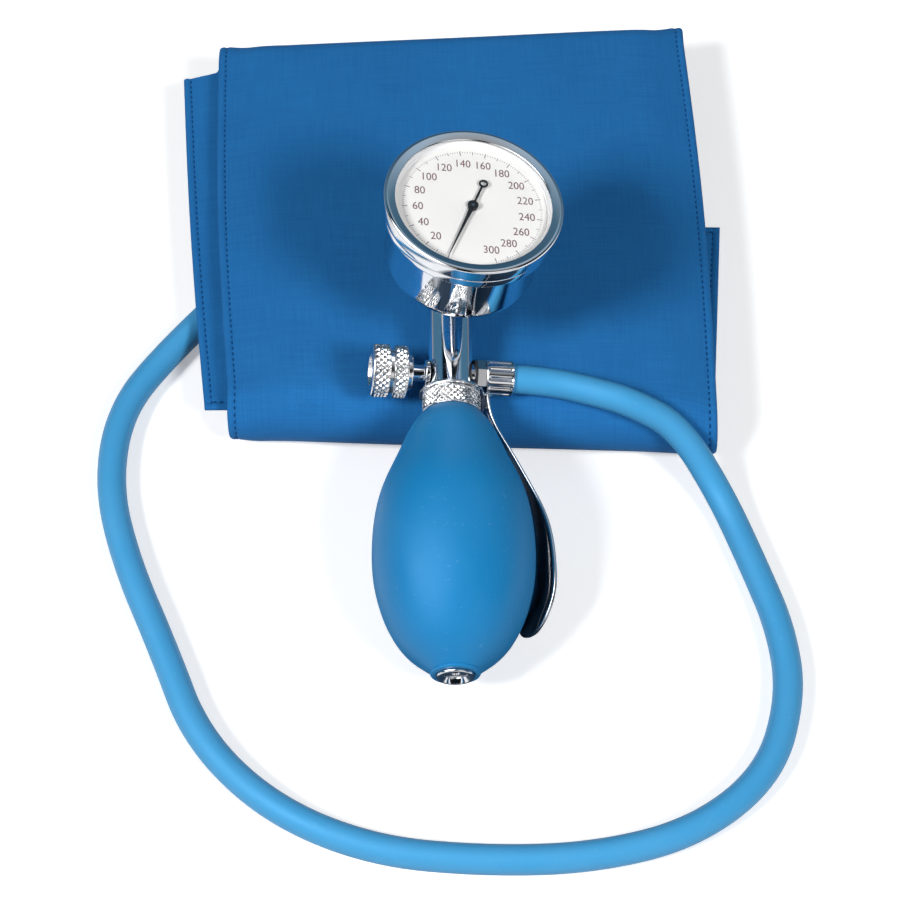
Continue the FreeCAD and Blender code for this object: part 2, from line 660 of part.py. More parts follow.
def prism(points, height):
    """A flat outline pushed up to a height."""
    return Part.Face(Part.makePolygon(points + points[:1])).extrude(Vector(0, 0, height))


def make_arbor():
    """Pointer arbor: a stepped spindle cut from one piece with its pinion."""
    bridge_top = BRIDGE + dim("plate_thick")
    top = TOP_PLATE
    shake = dim("end_shake")
    steps = [
        (dim("pivot_radius"), bridge_top - dim("pivot_length"), bridge_top + shake),
        (dim("arbor_radius"), bridge_top + shake, top - shake),
        (dim("arbor_tip_radius"), top - shake, POINTER_Z + dim("pointer_thick") * 2),
    ]
    corners = [(0, steps[0][1])]
    for radius, start, end in steps:
        corners += [(radius, start), (radius, end)]
    corners.append((0, steps[-1][2]))
    module = value_of(dim("gear_module"))
    teeth = int(DIMENSIONS["pinion_teeth"])
    outline = []
    for index in range(teeth):
        step_angle = math.pi / 2 + math.pi / teeth + 2 * math.pi * index / teeth
        outline += [polar(radius, angle + step_angle) for radius, angle in tooth(
            value_of(PITCH_PINION), teeth, module, 1.25 * module,
            value_of(dim("gear_backlash")))]
    pinion = put(shaped(prism(outline, value_of(dim("pinion_height")))), 0, 0,
                 SECTOR_Z - dim("pinion_drop"))
    swing = turn("z", value_of(dim("sector_swing")) / 2 * DIMENSIONS["sector_teeth"] / teeth)
    node("pointer_arbor", fused(turned(corners), pinion), GAUGE * swing)


def make_sector():
    """Sector: a toothed quadrant on its own arbor, with the pin that the rocker pushes."""
    module = value_of(dim("gear_module"))
    pitch = value_of(PITCH_SECTOR)
    cut_teeth = int(DIMENSIONS["sector_cut_teeth"])
    step_angle = 2 * math.pi / DIMENSIONS["sector_teeth"]
    height = value_of(dim("sector_thick"))
    outline = []
    for index in range(cut_teeth):
        middle = (index - (cut_teeth - 1) / 2) * step_angle - math.pi / 2
        outline += [polar(radius, angle + middle) for radius, angle in tooth(
            pitch, DIMENSIONS["sector_teeth"], 0.85 * module, 1.25 * module,
            value_of(dim("gear_backlash")))]
    half = cut_teeth / 2 * step_angle
    rim = pitch - 2.5 * module
    first = [polar(rim * share, -math.pi / 2 - half * turn_share)
             for share, turn_share in ((0.08, 2.6), (0.7, 0.75), (0.9, 1.0), (1.0, 1.0))]
    last = [Vector(-point.x, point.y, 0) for point in reversed(first)]
    quadrant = prism(first + outline + last, height)
    opening = ((0.42, -0.25), (0.86, -0.62), (0.88, 0.0), (0.86, 0.62), (0.42, 0.25))
    window = prism([polar(rim * share, -math.pi / 2 + half * turn_share)
                    for share, turn_share in opening], height)
    plate = put(shaped(quadrant.cut(window)), 0, 0, SECTOR_Z)
    bridge_top = BRIDGE + dim("plate_thick")
    top = TOP_PLATE
    shake = dim("end_shake")
    arbor = fused(
        rod(dim("pivot_radius"), bridge_top - dim("pivot_length"), top + dim("pivot_length")),
        rod(dim("arbor_radius"), bridge_top + shake, top - shake),
        rod(dim("sector_hub"), SECTOR_Z, SECTOR_Z + dim("sector_thick") * 1.5))
    pin = rod(dim("pin_radius"), SECTOR_Z - dim("pin_length"), SECTOR_Z,
              0, -PIN_ARM)
    swing = shift(0, CENTRES, 0) * turn("z", -SECTOR_HALF_SWING)
    node("sector_gear", fused(arbor, plate, pin), GAUGE * swing)


def make_pointer():
    """Pointer: hub, tapered needle and a ring for balance, standing at zero."""
    thick = value_of(dim("pointer_thick"))
    width = value_of(dim("pointer_width"))
    reach = value_of(dim("pointer_reach"))
    tail = value_of(dim("pointer_tail"))
    ring_radius = value_of(dim("pointer_ring"))
    ring_inside = value_of(dim("pointer_ring") - dim("pointer_ring_wall"))
    hub = value_of(dim("pointer_hub"))
    bore = value_of(dim("arbor_tip_radius"))
    up = Vector(0, 0, 1)
    needle = prism([Vector(-width, 0, 0), Vector(-0.15 * width, -reach, 0),
                    Vector(0.15 * width, -reach, 0), Vector(width, 0, 0)], thick)
    neck = prism([Vector(-width / 2, 0, 0), Vector(width / 2, 0, 0),
                  Vector(width / 2, tail, 0), Vector(-width / 2, tail, 0)], thick)
    eye = Part.makeCylinder(ring_radius, thick, Vector(0, tail + ring_inside, 0), up)
    eye_hole = Part.makeCylinder(ring_inside, thick, Vector(0, tail + ring_inside, 0), up)
    boss = Part.makeCylinder(hub, thick * 2, Vector(0, 0, 0), up)
    arbor = Part.makeCylinder(bore, thick * 2, Vector(0, 0, 0), up)
    shape = needle.fuse([neck, eye, boss]).cut(eye_hole).cut(arbor).removeSplitter()
    node("pointer", shaped(shape),
         GAUGE * shift(0, 0, POINTER_Z) * turn("z", -dim("pointer_zero")))


def make_hairspring():
    """Hairspring: half rings of growing radius, and the stud that holds its outer end."""
    thick = value_of(dim("spring_thick"))
    radius = value_of(dim("spring_start"))
    step = value_of(dim("spring_pitch")) / 2
    height = value_of(dim("spring_height"))
    outer, inner = [], []
    side = 1
    centre = 0.0
    for _ in range(2 * int(DIMENSIONS["spring_turns"])):
        for path, reach in ((outer, radius + thick), (inner, radius)):
            start = Vector(centre - side * reach, 0, 0)
            middle = Vector(centre, side * reach, 0)
            end = Vector(centre + side * reach, 0, 0)
            path.append(Part.Arc(start, middle, end).toShape())
        centre -= side * step / 2
        radius += step / 2
        side = -side
    ends = [Part.makeLine(outer[0].Vertexes[0].Point, inner[0].Vertexes[0].Point),
            Part.makeLine(outer[-1].Vertexes[-1].Point, inner[-1].Vertexes[-1].Point)]
    wire = Part.Wire(Part.__sortEdges__(outer + inner + ends))
    ribbon = Part.Face(wire).extrude(Vector(0, 0, height))
    node("hairspring", shaped(ribbon), GAUGE * shift(0, 0, SPRING_Z))
    stud_x = outer[-1].Vertexes[-1].Point.x
    stud_x += math.copysign(value_of(dim("stud_radius") + GAP), stud_x)
    stud = disc(dim("stud_radius"), BRIDGE + dim("plate_thick"),
                SPRING_Z + dim("spring_height"))
    node("hairspring_stud", stud, GAUGE * shift(stud_x, 0, 0))


# --------------------------------------------------------------------------------- the valve body
def make_valve_body():
    """Valve body: a turned bar with the air bore, two cross bores and the gauge's boss."""
    back, front = -dim("valve_back"), dim("valve_front")
    neck_end = -dim("valve_neck_end")
    bar = turned(
        [(0, neck_end), (dim("valve_neck_radius"), neck_end), (dim("valve_neck_radius"), back),
         (dim("valve_radius"), back), (dim("valve_radius"), front), (0, front)],
        [(dim("valve_radius"), front, dim("valve_edge"))])
    bar.Placement = turn("x", -90)
    lean = shift(0, dim("gauge_offset"), 0) * turn("x", -dim("gauge_lean"))
    boss = moved(rod(dim("stem_shoulder"), 0, dim("boss_top")), lean)
    stem_hole = moved(rod(dim("stem_radius") + GAP, dim("stem_root") - GAP, dim("boss_top") * 2),
                      lean)
    gauge_port = rod(dim("stem_bore"), 0, dim("stem_root"), 0, dim("gauge_offset"))
    bore = lying_rod(dim("air_bore"), neck_end, dim("air_bore_end"))
    cage_room = lying_rod(dim("cage_bore"), neck_end, back - 1.5 * dim("washer_thick"))
    reach = dim("valve_radius") + dim("rest_gap")
    sides = [
        cross_rod(dim("cross_bore") + GAP, -reach, -dim("seat_depth")),
        cross_rod(dim("seat_bore"), -dim("seat_depth"), 0),
        cross_rod(dim("cross_bore") + GAP, dim("nipple_start") - GAP, reach),
        cross_rod(dim("nipple_bore"), 0, dim("nipple_start")),
    ]
    body = cut(fused(bar, boss), stem_hole, gauge_port, bore, cage_room, *sides)
    node("valve_body", body, HAND)


def cross_rod(radius, start, end):
    """A cylinder along X from start to end."""
    thing = DOC.addObject("Part::Cylinder", "Rod")
    thing.Placement = turn("y", 90)
    bind(thing, Radius=radius, Height=as_size(end) - start)
    return put(thing, start, 0, 0)


def make_release_valve():
    """Release valve: bonnet, packing, spindle with its soft pad, and the knurled knob."""
    u = dim
    pad_room = u("pad_radius") + 5 * GAP
    travel = u("thread_pitch") * u("release_turns")
    pad_top = u("spindle_tip")
    room_end = pad_top + travel + GAP
    bonnet = turned([
        (pad_room, u("bonnet_start")), (u("cross_bore"), u("bonnet_start")),
        (u("cross_bore"), u("valve_radius")), (u("bonnet_flange"), u("valve_radius")),
        (u("bonnet_flange"), u("bonnet_flange_end")),
        (u("bonnet_neck"), u("bonnet_flange_end") + u("bonnet_taper")),
        (u("bonnet_neck"), u("bonnet_end")), (u("packing_room"), u("bonnet_end")),
        (u("packing_room"), u("packing_start")),
        (u("spindle_radius") + GAP, u("packing_start")),
        (u("spindle_radius") + GAP, room_end), (pad_room, room_end),
    ])
    node("release_bonnet", bonnet, TO_LEFT)
    packing = tube(u("spindle_radius") + 2 * GAP, u("packing_room") - GAP,
                   u("packing_start") + GAP, u("packing_start") + GAP + u("packing_height"))
    node("spindle_packing", packing, TO_LEFT)
    node("release_pad", disc(u("pad_radius"), u("seat_depth") + GAP, pad_top - GAP), TO_LEFT)
    node("release_spindle", disc(u("spindle_radius"), pad_top, u("spindle_end")), TO_LEFT)
    groove = u("knob_radius") - u("knob_groove_depth")
    edge = u("knob_edge")
    knob = turned([
        (u("spindle_radius"), u("knob_start")), (u("knob_collar"), u("knob_start")),
        (u("knob_collar"), u("knob_shoulder")), (u("knob_radius") - edge, u("knob_shoulder")),
        (u("knob_radius"), u("knob_shoulder") + edge),
        (u("knob_radius"), u("knob_groove_start")), (groove, u("knob_groove_start")),
        (groove, u("knob_groove_end")), (u("knob_radius"), u("knob_groove_end")),
        (u("knob_radius"), u("knob_end") - edge), (u("knob_radius") - edge, u("knob_end")),
        (u("knob_dish"), u("knob_end")),
        (u("knob_dish"), u("knob_end") - u("knob_dish_depth")),
        (0, u("knob_end") - u("knob_dish_depth")), (0, u("spindle_end")),
        (u("spindle_radius"), u("spindle_end")),
    ])
    node("release_knob", knob, TO_LEFT)


def make_hose_connection():
    """Hose connection: washer, barbed nipple with its hexagon, and the fluted nut."""
    u = dim
    hex_base = u("valve_radius") + u("washer_thick")
    washer = tube(u("cross_bore") + GAP, u("bonnet_flange") + u("washer_thick"),
                  u("valve_radius"), hex_base)
    node("nipple_washer", washer, TO_RIGHT)
    corners = [(u("nipple_bore"), u("nipple_start")), (u("cross_bore"), u("nipple_start")),
               (u("cross_bore"), u("nipple_hex_end")), (u("nipple_tube"), u("nipple_hex_end"))]
    for barb in range(2):
        start = u("coupling_end") + u("barb_pitch") * (barb + 0.4)
        corners += [(u("nipple_tube"), start), (u("nipple_barb"), start),
                    (u("nipple_tube"), start + u("barb_pitch") * 0.8)]
    corners += [(u("nipple_tube"), u("nipple_end")), (u("nipple_bore"), u("nipple_end"))]
    hexagon_part = cut(hexagon(u("nipple_hex"), hex_base, u("nipple_hex_end")),
                       rod(u("nipple_tube"), hex_base, u("nipple_hex_end")))
    node("hose_nipple", fused(turned(corners), hexagon_part), TO_RIGHT)
    start, end, edge = u("coupling_start"), u("coupling_end"), u("coupling_edge")
    outer = u("coupling_radius")
    body = turned([
        (u("nipple_tube") + GAP, start), (outer - edge, start), (outer, start + edge),
        (outer, end - edge), (outer - edge, end), (u("nipple_tube") + GAP, end),
    ])
    flutes = []
    count = int(DIMENSIONS["coupling_flutes"])
    for index in range(count):
        angle = 2 * math.pi * (index + 0.5) / count
        reach = outer + u("flute_radius") * 0.45
        flutes.append(rod(u("flute_radius"), start + 2 * edge, end - 2 * edge,
                          reach * math.cos(angle), reach * math.sin(angle)))
    node("coupling_nut", cut(body, *flutes), TO_RIGHT)


# ------------------------------------------------------------------------------- bulb and spoon
def ball_room(start):
    """Corners of a caged ball's chamber along a bore, from the inner port to the outer one."""
    u = dim
    length = 2 * u("ball_radius") + u("ball_travel") + 2 * GAP
    return [(u("port_radius"), start), (u("ball_room"), start),
            (u("ball_room"), start + length), (u("port_radius"), start + length)]


def make_bulb_end():
    """Knurled nut, and the outlet valve's cage with its ball, which the bulb's neck grips."""
    u = dim
    edge = u("nut_edge")
    nut = turned([
        (u("valve_neck_radius") + GAP, u("nut_start")), (u("nut_radius") - edge, u("nut_start")),
        (u("nut_radius"), u("nut_start") + edge), (u("nut_radius"), u("nut_end") - edge),
        (u("nut_radius") - edge, u("nut_end")), (u("cage_barb") + GAP, u("nut_end")),
        (u("cage_barb") + GAP, u("valve_neck_end") + GAP),
        (u("valve_neck_radius") + GAP, u("valve_neck_end") + GAP),
    ])
    node("bulb_nut", nut, TO_BULB_END)
    start = u("valve_back") + 1.5 * u("washer_thick")
    chamber = ball_room(u("ball_back"))
    cage = turned([(u("port_radius"), start), (u("cage_bore") - GAP, start),
                   (u("cage_bore") - GAP, u("valve_neck_end") + GAP),
                   (u("cage_barb"), u("valve_neck_end") + GAP),
                   (u("cage_barb"), u("cage_end") - u("barb_pitch")),
                   (u("cage_barb") - u("washer_thick"), u("cage_end")),
                   (u("port_radius"), u("cage_end"))] + list(reversed(chamber)))
    node("outlet_valve_cage", cage, TO_BULB_END)
    make_ball("outlet_valve_ball", u("ball_back"))


def make_ball(label, room_start):
    """A valve ball on the seat at its room's far end, towards the tail."""
    thing = DOC.addObject("Part::Sphere", "Ball")
    bind(thing, Radius=dim("ball_radius"))
    centre = room_start + GAP + dim("ball_radius") + dim("ball_travel")
    node(label, thing, TO_BULB_END * shift(0, 0, centre))


def bulb_shell(inset):
    """The bulb's egg shape as a solid, moved in by an inset, from its neck to its lip."""
    u = dim
    radius = value_of(u("bulb_radius"))
    start = value_of(u("bulb_start"))
    length = value_of(u("bulb_end") - u("bulb_lip")) - start
    points = [(value_of(u("bulb_neck_radius")), start)]
    for radius_share, length_share in ((0.716, 0.156), (0.846, 0.731), (0.789, 0.780)):
        points.append((radius_share * radius, start + length_share * length))
    points.append((value_of(u("bulb_lip_radius")), start + length))
    edges = arc_chain(points, 52.0, -inset)
    first, last = edges[0].firstVertex(True).Point, edges[-1].lastVertex(True).Point
    corners = [last, Vector(0, 0, last.z), Vector(0, 0, first.z), first]
    closing = [Part.makeLine(a, b) for a, b in zip(corners, corners[1:])]
    outline = Part.Face(Part.Wire(edges + closing))
    return outline.revolve(Vector(0, 0, 0), Vector(0, 0, 1), 360)


def make_bulb():
    """Rubber bulb: an egg-shaped shell with a thick neck at one end and a thick tail at the other."""
    u = dim
    start, end = value_of(u("bulb_start")), value_of(u("bulb_end"))
    lip = value_of(u("bulb_lip"))
    lip_radius = value_of(u("bulb_lip_radius"))
    wide = 2 * value_of(u("bulb_radius"))
    cavity = bulb_shell(value_of(u("bulb_wall"))).common(Part.makeCylinder(
        wide, end - start - value_of(u("bulb_neck_grip") + u("bulb_tail_grip")),
        Vector(0, 0, start + value_of(u("bulb_neck_grip")))))
    neck_hole = Part.makeCylinder(value_of(u("cage_barb") + GAP), (end - start) / 2,
                                  Vector(0, 0, start))
    tail_hole = Part.makeCylinder(value_of(u("tail_barrel") + GAP), (end - start) / 2,
                                  Vector(0, 0, (start + end) / 2))
    lip_room = Part.makeCylinder(value_of(u("tail_radius") + GAP), lip, Vector(0, 0, end - lip))
    lip_ring = Part.makeCone(lip_radius, lip_radius - 0.3 * lip, lip, Vector(0, 0, end - lip))
    shape = bulb_shell(0.0).fuse(lip_ring).cut([cavity, neck_hole, tail_hole, lip_room])
    node("bulb", shaped(shape.removeSplitter()), TO_BULB_END)


def make_tail_valve():
    """Intake valve in the bulb's tail: flanged barrel, ball and the drilled retainer."""
    u = dim
    chamber = ball_room(u("tail_start") + 2 * u("port_radius"))
    room_end = chamber[-1][1]
    lip_base = u("bulb_end") - u("bulb_lip") + GAP
    mouth_base = u("tail_end") - u("retainer_thick") - u("tail_mouth") / 3
    barrel = turned([
        (u("port_radius"), u("tail_start")),
        (u("tail_barrel") - u("washer_thick"), u("tail_start")),
        (u("tail_barrel"), u("tail_start") + u("barb_pitch") * 0.6), (u("tail_barrel"), lip_base),
        (u("tail_radius"), lip_base), (u("tail_radius"), u("tail_end")),
        (u("tail_mouth") + 1.2 * u("bulb_lip"), u("tail_end")),
        (u("tail_mouth"), mouth_base + u("retainer_thick")),
        (u("tail_mouth"), mouth_base), (u("port_radius"), mouth_base),
        (u("port_radius"), room_end)] + list(reversed(chamber))[1:])
    node("intake_valve_body", barrel, TO_BULB_END)
    make_ball("intake_valve_ball", u("tail_start") + 2 * u("port_radius"))
    retainer = tube(u("retainer_hole"), u("tail_mouth") - GAP, mouth_base,
                    mouth_base + u("retainer_thick"))
    node("intake_retainer", retainer, TO_BULB_END)


def make_spoon():
    """Palm spoon: a pressed dish that stands off the bulb, on a flat collar round the neck."""
    u = dim
    thick = value_of(u("spoon_thick"))
    start = value_of(u("valve_back") + GAP)
    collar = value_of(u("spoon_collar"))
    reach = value_of(u("spoon_mid_radius"))
    length = value_of(u("spoon_end")) - start
    profile = [(share * reach, start + up * length) for share, up in (
        (0.353, 0.0), (0.455, 0.164), (0.667, 0.301), (0.897, 0.500), (1.0, 0.763), (0.885, 1.0))]
    inner = arc_chain(profile, 90.0)
    outer = arc_chain(profile, 90.0, thick)
    sheet = ring_face(inner, outer)
    sweep = value_of(u("spoon_sweep"))
    dish = sheet.revolve(Vector(0, 0, 0), Vector(0, 0, 1), sweep)
    dish.rotate(Vector(0, 0, 0), Vector(0, 0, 1), -sweep / 2)
    root, wide = value_of(u("spoon_root_width")) / 2, value_of(u("spoon_width")) / 2
    neck_end = start + 0.11 * length
    side = [(root, neck_end)] + [(share * wide, start + up * length) for share, up in (
        (0.513, 0.301), (0.783, 0.493), (1.0, 0.737), (0.974, 0.853), (0.0, 1.0))]
    right = [Part.makeLine(Vector(root, 0, start - thick), Vector(root, 0, neck_end))]
    right += arc_chain(side, 91.0)
    left = [edge.mirror(Vector(0, 0, 0), Vector(1, 0, 0)) for edge in right]
    base = Part.makeLine(Vector(-root, 0, start - thick), Vector(root, 0, start - thick))
    blade = Part.Face(Part.Wire(Part.__sortEdges__(right + left + [base])))
    blade = blade.extrude(Vector(0, 2 * reach, 0))
    blade.rotate(Vector(0, 0, 0), Vector(0, 0, 1), -90)
    plate = Part.makeCylinder(collar, thick, Vector(0, 0, start))
    tab_reach = profile[0][0] + thick
    tab = Part.makeBox(tab_reach, 2 * root, thick, Vector(0, -root, start))
    hole = Part.makeCylinder(value_of(u("valve_neck_radius") + GAP), 4 * thick,
                             Vector(0, 0, start - thick))
    shape = plate.fuse([tab, dish.common(blade)]).cut(hole).removeSplitter()
    node("palm_spoon", shaped(shape), TO_BULB_END * turn("z", 90 - value_of(u("spoon_turn"))))


def ring_face(inner, outer):
    """The face between two chains of edges that run side by side."""
    ends = [Part.makeLine(inner[0].firstVertex(True).Point, outer[0].firstVertex(True).Point),
            Part.makeLine(inner[-1].lastVertex(True).Point, outer[-1].lastVertex(True).Point)]
    return Part.Face(Part.Wire(Part.__sortEdges__(inner + outer + ends)))


# ------------------------------------------------------------------------------------- the cuff
LAYER = dim("layer_thick")
TOP_BASE = dim("cuff_height") - LAYER
MIDDLE_TOP = TOP_BASE - dim("rest_gap")
MIDDLE_BASE = MIDDLE_TOP - LAYER


def fold(x_start, x_end, y, low, high, inset, front):
    """Half a tube along X that joins two layers, from its lowest to its highest surface."""
    outer = (high - low) / 2 - inset
    inner = (high - low) / 2 - LAYER + inset
    middle = (high + low) / 2
    halves = []
    for radius in (outer, inner):
        thing = DOC.addObject("Part::Cylinder", "Fold")
        thing.Placement = turn("y", 90)
        bind(thing, Radius=radius, Height=as_size(x_end) - x_start)
        halves.append(put(thing, x_start, y, middle))
    bend = cut(*halves)
    reach = (high - low)
    if front:
        half = block(x_start, x_end, y - reach, y, low, high)
    else:
        half = block(x_start, x_end, y, y + reach, low, high)
    return kept(bend, half)


def cuff_band(inset, left, width, front_end, top_end):
    """The strip's middle layer, back fold and top layer, moved in all round by the inset."""
    u = dim
    middle_left = left if left is not None else u("middle_left")
    top_left = left if left is not None else u("cuff_left")
    return [
        block(middle_left, middle_left + width, front_end, u("fold_back"),
              MIDDLE_BASE + inset, MIDDLE_TOP - inset),
        fold(top_left, top_left + width, u("fold_back"), MIDDLE_BASE, u("cuff_height"), inset, False),
        block(top_left, top_left + width, top_end, u("fold_back"),
              TOP_BASE + inset, u("cuff_height") - inset),
    ]


def port_tab(inset, smaller):
    """The bladder's tab, which carries the port beside the main pocket."""
    u = dim
    half = u("tab_width") / 2 - smaller
    return block(u("pocket_left") - u("tab_length") + smaller,
                 u("pocket_left") + 2 * u("cloth_thick"), u("port_y") - half, u("port_y") + half,
                 MIDDLE_BASE + inset, MIDDLE_TOP - inset)


def port_frame():
    """The cuff port's frame: Z down the riser, X along the spigot."""
    return (shift(dim("port_x"), dim("port_y"), 0) * turn("z", 180 + value_of(dim("port_turn"))))


def make_cuff():
    """Folded cuff: sleeve, bladder in its pocket, and the hook and loop patches."""
    u = dim
    sleeve = fused(
        *cuff_band(0, None, u("cuff_width"), u("middle_front"), u("fold_front")),
        fold(u("cuff_left"), u("cuff_left") + u("cuff_width"), u("fold_front"), as_size(0),
             u("cuff_height"), 0, True),
        block(u("flap_left"), u("flap_left") + u("flap_width"), u("fold_front"), u("flap_back"),
              0, LAYER))
    pocket = fused(port_tab(u("cloth_thick"), as_size(0)),
                   *cuff_band(u("cloth_thick"), u("pocket_left"), u("pocket_width"),
                              u("pocket_front"), u("pocket_top_end")))
    port_hole = rod(u("port_tube") + GAP, MIDDLE_BASE - LAYER / 4, MIDDLE_BASE + LAYER / 2,
                    u("port_x"), u("port_y"))
    node("cuff_sleeve", cut(sleeve, pocket, port_hole), CUFF)
    bladder = fused(port_tab(u("cloth_thick") + u("rest_gap"), u("rest_gap")),
                    *cuff_band(u("cloth_thick") + u("rest_gap"), u("pocket_left") + u("rest_gap"),
                               u("pocket_width") - 2 * u("rest_gap"),
                               u("pocket_front") + u("rest_gap"),
                               u("pocket_top_end") + u("rest_gap")))
    inlet_top = BLADDER_BASE + u("port_flange_thick") * 2
    inlet = rod(u("port_flange") + u("rest_gap"), BLADDER_BASE, inlet_top, u("port_x"), u("port_y"))
    node("bladder", cut(bladder, inlet), CUFF)
    inset = u("patch_inset")
    hook_left = u("flap_left") + inset
    node("hook_patch", block(hook_left, u("flap_left") + u("flap_width") - inset,
                             u("flap_back") - inset / 3 - u("hook_length"), u("flap_back") - inset / 3,
                             LAYER, LAYER + u("patch_thick")), CUFF)
    node("loop_patch", block(hook_left, u("middle_left") + u("cuff_width") - inset,
                             u("flap_back") - u("loop_length"), u("flap_back"),
                             MIDDLE_BASE - u("patch_thick"), MIDDLE_BASE), CUFF)


BLADDER_BASE = MIDDLE_BASE + dim("cloth_thick") + dim("rest_gap")


def make_port():
    """Cuff port: an elbow clamped to the bladder, with a barbed spigot for the hose."""
    u = dim
    hose_z = u("hose_low")
    flange_top = BLADDER_BASE + u("port_flange_thick")
    riser = rod(u("port_tube"), u("port_low"), flange_top)
    flange = rod(u("port_flange"), BLADDER_BASE, flange_top)
    collar = cross_rod(u("port_tube"), 0, u("port_reach"))
    spigot = cross_rod(u("port_barb") - GAP, 0, u("port_barb_end"))
    barbs = []
    for barb in range(2):
        cone = DOC.addObject("Part::Cone", "Barb")
        cone.Placement = turn("y", 90)
        bind(cone, Radius1=u("port_barb") + u("washer_thick") / 2, Radius2=u("port_barb") - GAP,
             Height=u("barb_pitch") * 0.8)
        start = u("port_reach") + u("barb_pitch") * (barb + 1)
        barbs.append(put(cone, start, 0, hose_z))
    for thing in (collar, spigot):
        put(thing, 0, 0, hose_z)
    bore = cross_rod(u("port_bore"), 0, u("port_barb_end"))
    put(bore, 0, 0, hose_z)
    riser_bore = rod(u("port_bore"), hose_z, flange_top)
    port = cut(fused(riser, flange, collar, spigot, *barbs), bore, riser_bore)
    node("cuff_port", port, port_frame())


# -------------------------------------------------------------------------------------- the hose
def hose_points():
    """The hose's whole route: connector face, the chosen points, the port's collar."""
    start = TO_RIGHT.multVec(Vector(0, 0, value_of(dim("coupling_end") + GAP)))
    end = port_frame().multVec(Vector(value_of(dim("port_reach") + GAP), 0,
                                      value_of(dim("hose_low"))))
    return [start] + [Vector(*point) for point in HOSE_ROUTE] + [end]


def arc_path(points):
    """Straight runs joined by tangent arcs, each as large as its two runs allow."""
    edges = []
    radii = []
    here = points[0]
    for before, corner, after in zip(points, points[1:], points[2:]):
        back, ahead = before - corner, after - corner
        shorter = min(back.Length, ahead.Length)
        half_turn = (math.pi - back.getAngle(ahead)) / 2
        trim = 0.45 * shorter
        radii.append(trim / math.tan(half_turn))
        into = corner + back.normalize() * trim
        out = corner + ahead.normalize() * trim
        to_centre = (back + ahead).normalize()
        centre = corner + to_centre * (radii[-1] / math.cos(half_turn))
        middle = centre - to_centre * radii[-1]
        edges.append(Part.LineSegment(here, into).toShape())
        edges.append(Part.Arc(into, middle, out).toShape())
        here = out
    edges.append(Part.LineSegment(here, points[-1]).toShape())
    return Part.Wire(edges), radii


def make_hose():
    """Hose: a plain round tube along its route."""
    points = hose_points()
    path, radii = arc_path(points)
    radius = value_of(dim("hose_diameter")) / 2
    direction = points[1] - points[0]
    section = Part.Wire([Part.Circle(points[0], direction, radius).toShape()])
    shape = path.makePipeShell([section], True, True)
    expected = math.pi * radius ** 2 * path.Length
    print("hose radii (mm):", ", ".join("%.0f" % bend for bend in radii))
    print("hose length %.1f mm, volume over section times length %.4f"
          % (path.Length, shape.Volume / expected))
    node("hose", shaped(shape), CUFF)


# ------------------------------------------------------------------------------------ the export
def check_and_export():
    """Refuse a failed object or shape, then write one STEP file for each node."""
    DOC.recompute()
    for thing in DOC.Objects:
        bad = [state for state in thing.State if state in ("Invalid", "Error")]
        if bad:
            raise RuntimeError("%s (%s) failed: %s" % (thing.Label, thing.Name, bad))
    os.makedirs("parts", exist_ok=True)
    facets = 0
    for label, thing in NODES.items():
        shape = thing.Shape
        if shape.isNull() or not shape.isValid() or not shape.Solids:
            raise RuntimeError("%s has no valid solid" % label)
        facets += len(shape.tessellate(0.1)[1])
        shape.exportStep(os.path.join("parts", label + ".step"))
    print("%d nodes, about %d triangles" % (len(NODES), facets))


def main():
    make_case()
    make_bezel()
    make_face()
    make_stem()
    make_capsule()
    make_plates()
    make_pillars()
    make_rocker()
    make_arbor()
    make_sector()
    make_pointer()
    make_hairspring()
    make_valve_body()
    make_release_valve()
    make_hose_connection()
    make_bulb_end()
    make_bulb()
    make_tail_valve()
    make_spoon()
    make_cuff()
    make_port()
    make_hose()
    check_and_export()


main()
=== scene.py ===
# %% [markdown]
# # A palm-type blood pressure set
# A dial gauge, a valve body, a rubber bulb and a metal palm spoon make one handpiece, and one hose
# joins it to a folded arm cuff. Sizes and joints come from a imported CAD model. This lesson works
# out each visible surface again as a smooth formula and gives it the finish of the real thing.

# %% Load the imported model
import json
import math

import bmesh
import bpy
import numpy as np
from mathutils import Matrix, Vector


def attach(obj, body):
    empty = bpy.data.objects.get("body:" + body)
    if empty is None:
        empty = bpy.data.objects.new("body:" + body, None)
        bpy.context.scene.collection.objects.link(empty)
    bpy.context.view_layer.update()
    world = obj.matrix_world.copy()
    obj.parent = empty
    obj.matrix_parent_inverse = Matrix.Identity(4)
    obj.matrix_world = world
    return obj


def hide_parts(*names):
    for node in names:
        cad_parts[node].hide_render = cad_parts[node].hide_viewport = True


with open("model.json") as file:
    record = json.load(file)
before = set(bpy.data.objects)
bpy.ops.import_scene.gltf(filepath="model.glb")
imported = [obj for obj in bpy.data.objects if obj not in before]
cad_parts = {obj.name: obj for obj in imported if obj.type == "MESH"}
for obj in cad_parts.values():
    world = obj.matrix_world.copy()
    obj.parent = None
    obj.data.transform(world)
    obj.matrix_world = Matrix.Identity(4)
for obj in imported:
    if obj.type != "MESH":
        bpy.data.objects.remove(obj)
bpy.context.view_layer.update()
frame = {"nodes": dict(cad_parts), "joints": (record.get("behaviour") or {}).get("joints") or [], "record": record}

# %% [markdown]
# ## Camera
# A long lens looks down at the set from 55 degrees above the table, one metre away. The field of
# view is narrow, so the dial keeps its true ellipse.

# %% Camera
AIM = Vector((-0.006, -0.078, 0.0))
CAMERA_RISE = math.radians(55.0)
CAMERA_DISTANCE = 1.0
FOCAL_PIXELS = 3036.0
PICTURE_PIXELS = 900.0


def placed(name, data):
    """A new object in the scene, made from its data."""
    made = bpy.data.objects.new(name, data)
    bpy.context.scene.collection.objects.link(made)
    return made


